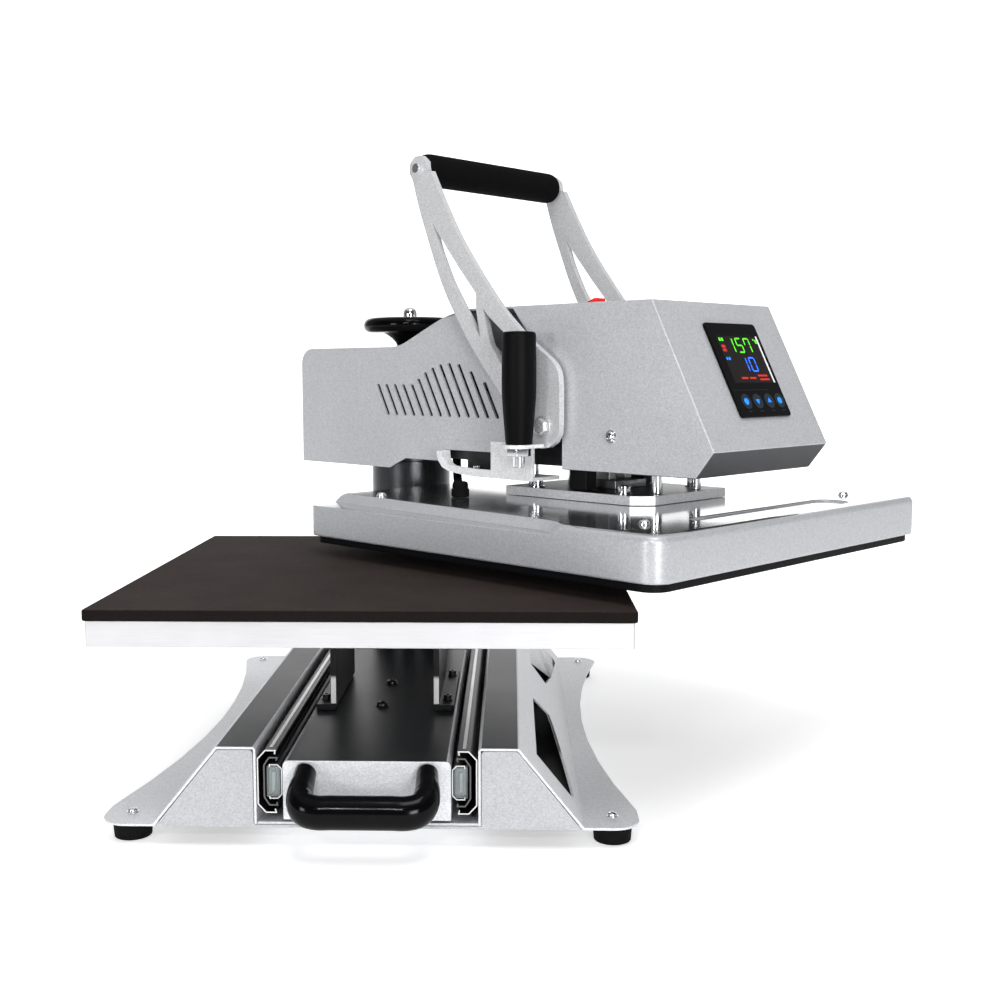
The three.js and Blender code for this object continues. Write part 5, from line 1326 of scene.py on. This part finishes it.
@dataclass
class Controls:
    """The temperature controller, its lit window and the power switch."""

    left: float = -20
    width: float = 60
    top: float = -31.5
    height: float = 43
    screen_z: float = 2.02
    mark_depth: float = 0.14
    mark_corner: float = 0.5
    key_face: float = 2.32
    key_row: float = -91.0
    key_depth: float = 0.08

    def build(self) -> None:
        """Builds the controller's face and the switch."""
        Refined("controller", 0.5, 3).build()
        Refined("display_screen", 0.15, 1).build()
        Refined("switch_housing", 0.4, 2).build()
        self.rocker()
        self.readings()
        self.keys()

    def cut_corners(self, shape: Shaper, offset: float) -> None:
        """Cuts the upright corners of a thin flat mark."""
        shape.edit_edges(lambda a, b: abs(a.z - b.z) > self.mark_depth / 2,
                         lambda: bpy.ops.mesh.bevel(offset=offset, segments=1, affect="EDGES"))

    def mark(self, name: str, u0: float, u1: float, v0: float, v1: float,
             finish: Finish) -> bpy.types.Object:
        """Lays a flat lit mark on the window, in shares of its width and height."""
        x0, x1 = self.left + u0 * self.width, self.left + u1 * self.width
        y0, y1 = self.top - v1 * self.height, self.top - v0 * self.height
        shape = Shaper.block(name, (x0, y0, self.screen_z),
                             (x1, y1, self.screen_z + self.mark_depth))
        self.cut_corners(shape, self.mark_corner)
        return shape.publish(finish, "arm", "screen", Place.PANEL)

    def digit(self, name: str, figure: str, u: float, v: float, wide: float, tall: float,
              finish: Finish) -> bpy.types.Object:
        """Builds one figure from seven bars.

        Args:
            name: The piece's name.
            figure: The figure, 0, 1, 5 or 7.
            u: Its left side as a share of the window.
            v: Its top as a share of the window.
            wide: Its width in millimetres.
            tall: Its height in millimetres.
            finish: Its lit finish.

        Returns:
            The finished figure.
        """
        lit = {"0": "abcdef", "1": "bc", "5": "acdfg", "7": "abcf"}[figure]
        bar = 0.17 * wide if figure != "1" else 1.2
        x, y = self.left + u * self.width, self.top - v * self.height
        gap = bar * 0.12
        spots = {
            "a": (x, y, wide, 0), "g": (x, y - tall / 2, wide, 0), "d": (x, y - tall, wide, 0),
            "f": (x, y, tall / 2, 1), "b": (x + wide, y, tall / 2, 1),
            "e": (x, y - tall / 2, tall / 2, 1), "c": (x + wide, y - tall / 2, tall / 2, 1),
        }
        bars = []
        for letter in lit:
            ax, ay, length, upright = spots[letter]
            half = bar / 2
            low = (-half, -length + gap) if upright else (gap, -half)
            high = (half, -gap) if upright else (length - gap, half)
            piece = Shaper.block(f"{name}_{letter}", (ax + low[0], ay + low[1], self.screen_z),
                                 (ax + high[0], ay + high[1], self.screen_z + self.mark_depth))
            self.cut_corners(piece, bar * 0.46)
            bars.append(piece)
        bars[0].shown.name = name
        return bars[0].joined(*bars[1:]).publish(finish, "arm", "screen", Place.PANEL)

    def readings(self) -> None:
        """Lights the two readings, their labels and the status row."""
        for index, (figure, u) in enumerate([("1", 0.33), ("5", 0.42), ("7", 0.62)]):
            wide = 0.1 if figure == "1" else 7.2
            self.digit(f"reading_top_{index + 1}", figure, u, 0.06, wide, 12.6, GREEN_MARK)
        for index, (figure, u) in enumerate([("1", 0.48), ("0", 0.56)]):
            wide = 0.1 if figure == "1" else 7.8
            self.digit(f"reading_low_{index + 1}", figure, u, 0.47, wide, 12.2, BLUE_MARK)
        rows = [
            ("label_green_a", 0.03, 0.07, 0.05, 0.12, GREEN_MARK),
            ("label_green_b", 0.09, 0.13, 0.05, 0.12, GREEN_MARK),
            ("unit_dot", 0.86, 0.885, 0.06, 0.1, GREEN_MARK),
            ("unit_mark", 0.9, 0.94, 0.08, 0.16, GREEN_MARK),
            ("status_red_a", 0.03, 0.12, 0.2, 0.26, RED_MARK),
            ("status_red_b", 0.03, 0.12, 0.28, 0.34, RED_MARK),
            ("label_blue_a", 0.03, 0.065, 0.46, 0.52, CYAN_MARK),
            ("label_blue_b", 0.085, 0.125, 0.46, 0.52, CYAN_MARK),
            ("row_red_a", 0.2, 0.36, 0.88, 0.92, RED_MARK),
            ("row_red_b", 0.4, 0.56, 0.88, 0.92, RED_MARK),
            ("row_red_c", 0.64, 0.88, 0.91, 0.95, RED_MARK),
            ("row_red_d", 0.62, 0.86, 0.83, 0.87, RED_MARK),
        ]
        for name, u0, u1, v0, v1, finish in rows:
            self.mark(name, u0, u1, v0, v1, finish)
        low = (self.left + 0.955 * self.width, self.top - self.height, self.screen_z)
        high = (self.left + self.width - 0.6, self.top - 0.2, self.screen_z + self.mark_depth)
        edge = Shaper.block("window_edge", low, high)
        edge.publish(WHITE_EDGE, "arm", "screen", Place.PANEL)

    def keys(self) -> None:
        """Sets the four touch keys, their rings and the thin line over them."""
        face, row, raised = self.key_face, self.key_row, self.key_face + self.key_depth
        keys = [(-15.3, "round"), (1.4, "down"), (18.6, "up"), (34.2, "round")]
        for index, (x, shape) in enumerate(keys):
            sides = 20 if shape == "round" else 3
            icon = Shaper.turned(f"key_mark_{index + 1}", [(2.9, face), (2.9, face + 0.1)], sides)
            turn = {"round": 0.0, "up": 0.0, "down": math.pi}[shape]
            icon.moved(Matrix.Translation((x, row, 0)) @ Matrix.Rotation(turn, 4, "Z"))
            icon.publish(CYAN_MARK, "arm", "screen", Place.PANEL)
            ring = Shaper.turned(f"key_ring_{index + 1}",
                                 [(6.6, face), (6.6, raised), (6.25, raised),
                                  (6.25, face + 0.01)], 40)
            ring.moved(Matrix.Translation((x, row, 0)))
            ring.publish(FAINT_MARK, "arm", "screen", Place.PANEL)
            dash = Shaper.block(f"key_dash_{index + 1}", (x - 2.6, row - 9.2, face),
                                (x + 2.6, row - 8.5, raised))
            dash.publish(FAINT_MARK, "arm", "screen", Place.PANEL)
        line = Shaper.block("key_line", (-27, -81.2, face), (24, -80.9, raised))
        line.publish(FAINT_MARK, "arm", "screen", Place.PANEL)

    def rocker(self) -> None:
        """Eases the edges of the red rocker and gives it its finish."""
        Refined("power_rocker", 0.5, 3, RED).build()


@dataclass
class Pressure:
    """The handwheel and its screw."""

    def build(self) -> None:
        """Builds the wheel, its cap nut, the screw and the travelling nut."""
        rim, top = 388, 403
        steps = [(13.4, 371.8), (14, 372.4), (14, 375.6), (15.2, 378.4), (19, 382.4), (24, 385.8),
                 (28, 387.7), (30, rim), (41, rim), (43.6, rim + 0.6), (45.8, rim + 1.9),
                 (47.3, rim + 4), (48, rim + 6.4), (48, rim + 8.6), (47.3, rim + 11),
                 (45.8, rim + 13.1), (43.6, rim + 14.4), (41, top), (34, top - 0.2),
                 (28, top - 0.9), (22, top - 2), (17, top - 2.7), (12, top - 3), (7, top - 3)]
        wheel = Shaper.turned("moulded_handwheel", steps, 112)
        wheel.publish(GLOSS_BLACK, "wheel", "gloss_black", Place.ARM, ("handwheel",), smooth=50)
        base = top - 2.9
        hexagon = Shaper.turned("cap_nut_hex", [(7.9, base), (8.4, base + 0.4), (8.4, base + 4.2),
                                                (7.6, base + 4.7)], 6)
        dome = Shaper.turned("cap_nut_dome",
                             [(7.1, base + 4), (7.2, base + 7), (7, base + 9), (6.3, base + 11),
                              (5.1, base + 12.6), (3.4, base + 13.7), (1.2, base + 14.2)], 40)
        nut = hexagon.joined(dome)
        nut.shown.name = "domed_cap_nut"
        nut.publish(CHROME, "wheel", "chrome", Place.ARM, ("acorn_nut",))
        Refined("pressure_screw", 0.3).build()
        Refined("pressure_nut", 0.5).build()


@dataclass
class Lever:
    """The pull-down lever with its foam grip, pivots and toggle."""

    outer: float = 94

    def build(self) -> None:
        """Builds the pieces that turn with the lever."""
        for side, sign in SIDES:
            Refined(f"lever_plate_{side}", 0.7, 3, LIGHT_PAINT).build()
            self.bolt(side, sign)
        Refined("lever_shaft", 0.4).build()
        Refined("toggle_link", 0.5).build()
        self.grip()

    def grip(self) -> None:
        """Turns the foam grip and the rod through it."""
        steps = [(8.4, -87.6), (11.6, -87.6), (12.6, -87), (13.6, -85.4), (14.2, -83), (14.5, -80),
                 (14.5, -50), (14.5, -20), (14.5, 10), (14.5, 40), (14.5, 80), (14.2, 83),
                 (13.6, 85.4), (12.6, 87), (11.6, 87.6), (8.4, 87.6)]
        lay = Matrix.Translation((0, 0, LEVER_LENGTH)) @ Matrix.Rotation(math.pi / 2, 4, "Y")
        foam = Shaper.turned("foam_lever_grip", steps, 56).moved(lay)
        grip = foam.publish(FOAM, "lever", "foam", Place.LEVER, ("lever_grip",), smooth=60)
        Refined("grip_rod", 0.4).build()

    def bolt(self, side: str, sign: int) -> None:
        """Turns a pivot bolt of bright steel with a six-sided head and a washer."""
        base = self.outer + 0.3
        steps = [(2.6, base - 0.2), (8.9, base), (9.5, base + 0.4), (9.5, base + 1.2),
                 (8.9, base + 1.6), (6.4, base + 1.7)]
        head = Shaper.turned(f"pivot_head_{side}", steps, 40)
        cap = Shaper.turned("hexagon", [(6.9, base + 1.4), (6.9, base + 4), (6.2, base + 4.7),
                                        (4.4, base + 5.1)], 6)
        head.joined(cap.soften(0.25, 2))
        head.shown.name = f"pivot_head_{side}"
        head.moved(Matrix.Rotation(sign * math.pi / 2, 4, "Y"))
        head.publish(BRIGHT_BOLT, "lever", "chrome", Place.LEVER, (f"pivot_bolt_{side}",))


@dataclass
class HeatedHead:
    """The head that presses down: cover, platen, plate, guides and lead."""

    centre: float = -268.7
    cover_top: float = 237
    plate_top: float = 245.3
    plate_bolt_side: float = 50
    plate_bolt_reach: float = 49
    plate_bolt_shift: float = -3
    cover_screw_reach: float = 146.5
    lead_radius: float = 4
    lead_rise: float = 36

    def build(self, screws: Fasteners) -> None:
        """Builds the pieces that move with the head."""
        Refined("upper_cover", 1.4, 3, SILVER_COVER).build()
        Refined("insulation_board", 0.3).build()
        Refined("heating_platen", 0.8).build()
        Refined("mounting_plate", 0.5, 2, PLATE_STEEL).build()
        Refined("head_clevis", 0.6, 2).build()
        for side, _ in SIDES:
            Refined(f"guide_bar_{side}", 0.6, 2).build()
            for end, _ in ENDS:
                Refined(f"guide_post_{end}_{side}", 0.4).build()
        self.lead()
        self.screws(screws)

    def lead(self) -> None:
        """Draws the heater lead from its gland up into the arm."""
        start, end = Vector((-104, -179.7, 247)), Vector((-50, -119.7, 247))
        shares = [(0, 0), (0.12, 0.005), (0.35, -0.02), (0.65, 0.02), (0.82, 0.16), (0.92, 0.42),
                  (1, 1)]
        points = [tuple(start.lerp(end, along) + Z * (up * self.lead_rise)) for along, up in shares]
        lead = Shaper.swept("heater_lead", points, self.lead_radius, self.lead_radius)
        gland = Shaper.turned("lead_gland", [(7.6, 237.4), (8, 237.8), (8, 244), (7, 245),
                                             (7, 248.6), (6.2, 250.6), (5, 251)], 32)
        gland.moved(Matrix.Translation((start.x, start.y, 0)))
        lead.joined(gland).publish(RUBBER, "head", "black_rubber", Place.ARM, ("heater_cable",))

    def screws(self, screws: Fasteners) -> None:
        """Sets the cap bolts of the plate and the screws of the cover."""
        for side, sign in SIDES:
            for end, way in ENDS:
                y = self.centre + way * self.plate_bolt_reach + self.plate_bolt_shift
                at = (sign * self.plate_bolt_side, y, self.plate_top)
                screws.place(f"plate_bolt_{end}_{side}", Head.CAP, 5.6, at, Z, "head", Place.ARM)
                reach = self.cover_screw_reach
                at = (sign * reach, self.centre + way * reach, self.cover_top)
                screws.place(f"cover_screw_{end}_{side}", Head.PAN, 4, at, Z, "head", Place.ARM)


@dataclass
class Studio:
    """The pale floor, the soft lights and the camera."""

    camera_at: Point = (105.311, -1015.61, 348.985)
    yaw: float = -1.851
    pitch: float = 6.051
    roll: float = -0.139
    focal: float = 1227.075
    middle: tuple[float, float] = (472.026, 500.589)
    picture: float = 1000
    sensor: float = 36
    sweep_reach: float = 4.2
    sweep_radius: float = 1.5
    sweep_height: float = 2.5
    front_glow: float = 0.08
    back_glow: float = 0.3
    top_glow: float = 0.5
    aim: Point = (0.1, 0.1, 0.1)
    panels: tuple[tuple[str, Point, float, float], ...] = (
        ("front_panel", (1.35, -3.6, 0.42), 1.0, 74), ("left_panel", (-1.7, -2.0, 0.35), 0.6, 17),
        ("top_panel", (0.3, -1.0, 2.1), 1.0, 22), ("bulb_left", (-0.39, -2.3, 1.1), 0.09, 5.0),
        ("bulb_right", (-0.16, -2.3, 1.1), 0.09, 5.0))

    def build(self) -> None:
        """Sets the camera, the floor and the lights."""
        self.camera()
        self.floor()
        self.lights()

    def camera(self) -> None:
        """Places the camera where the picture was taken from."""
        yaw, pitch, roll = (math.radians(angle) for angle in (self.yaw, self.pitch, self.roll))
        level = math.cos(pitch)
        forward = Vector((math.sin(yaw) * level, math.cos(yaw) * level, -math.sin(pitch)))
        right = Vector((math.cos(yaw), -math.sin(yaw), 0))
        up = right.cross(forward)
        across = right * math.cos(roll) + up * math.sin(roll)
        upward = up * math.cos(roll) - right * math.sin(roll)
        lens = bpy.data.cameras.new("studio_camera")
        lens.sensor_width = self.sensor
        lens.lens = self.focal * self.sensor / self.picture
        lens.shift_x = (self.picture / 2 - self.middle[0]) / self.picture
        lens.shift_y = (self.middle[1] - self.picture / 2) / self.picture
        lens.clip_start, lens.clip_end = 0.05, 50
        camera = bpy.data.objects.new("studio_camera", lens)
        stand = Matrix.Translation(Place.BENCH.matrix() @ Vector(self.camera_at))
        camera.matrix_world = stand @ Matrix((across, upward, -forward)).transposed().to_4x4()
        bpy.context.scene.collection.objects.link(camera)
        bpy.context.scene.camera = camera

    def floor(self) -> None:
        """Lays a pale floor that curves up behind the object as a backdrop."""
        Shaper.clear()
        bpy.ops.mesh.primitive_plane_add(size=2 * self.sweep_reach,
                                         location=(0, 0, BENCH_Z - 0.0003))
        floor = Shaper.taken("studio_floor")
        steps = [(self.sweep_radius * math.sin(turn), self.sweep_radius * (1 - math.cos(turn)))
                 for turn in (math.pi / 2 * step / 16 for step in range(17))]
        rises = [(y2 - y1, z2 - z1) for (y1, z1), (y2, z2) in zip(steps, steps[1:])]
        rises.append((0, self.sweep_height))

        def raise_edge() -> None:
            """Draws the rear edge up along the curve."""
            for back, up in rises:
                draw_on((0, back, up))

        floor.edit_edges(lambda a, b: min(a.y, b.y) > 0, raise_edge)
        floor.choose()
        bpy.ops.object.shade_smooth()
        floor.shown.data.materials.append(FLOOR.material())

    def lights(self) -> None:
        """Hangs soft panels and fills the room with light from above and behind."""
        graph = Graph(bpy.data.worlds.new("studio_world"), "ShaderNodeBackground",
                      "ShaderNodeOutputWorld",
                      "Generated")
        behind = graph.along(graph.place, 1, -0.25, 0.35)
        overhead = graph.along(graph.place, 2, 0.55, 0.85)
        glow = self.front_glow + behind * (self.back_glow - self.front_glow)
        glow = glow + overhead * self.top_glow
        bpy.context.scene.world = graph.finish({"Color": (1, 1, 1, 1), "Strength": glow})
        for name, at, size, power in self.panels:
            lamp = bpy.data.lights.new(name, "AREA")
            lamp.shape, lamp.size, lamp.energy = "SQUARE", size, power
            shown = bpy.data.objects.new(name, lamp)
            shown.location = at
            towards = Vector(self.aim) - Vector(at)
            shown.rotation_euler = towards.to_track_quat("-Z", "Y").to_euler()
            bpy.context.scene.collection.objects.link(shown)
        view = bpy.context.scene.view_settings
        view.view_transform, view.look = "Standard", "None"


def main() -> None:
    """Builds the studio and every sub-assembly, and reports each piece."""
    logging.basicConfig(level=logging.INFO, format="%(message)s")
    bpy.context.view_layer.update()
    Studio().build()
    screws = Fasteners()
    Base().build(screws)
    Drawer().build(screws)
    Arm().build(screws)
    Controls().build()
    Pressure().build()
    Lever().build()
    HeatedHead().build(screws)
    screws.put_away()


if __name__ == "__main__":
    main()
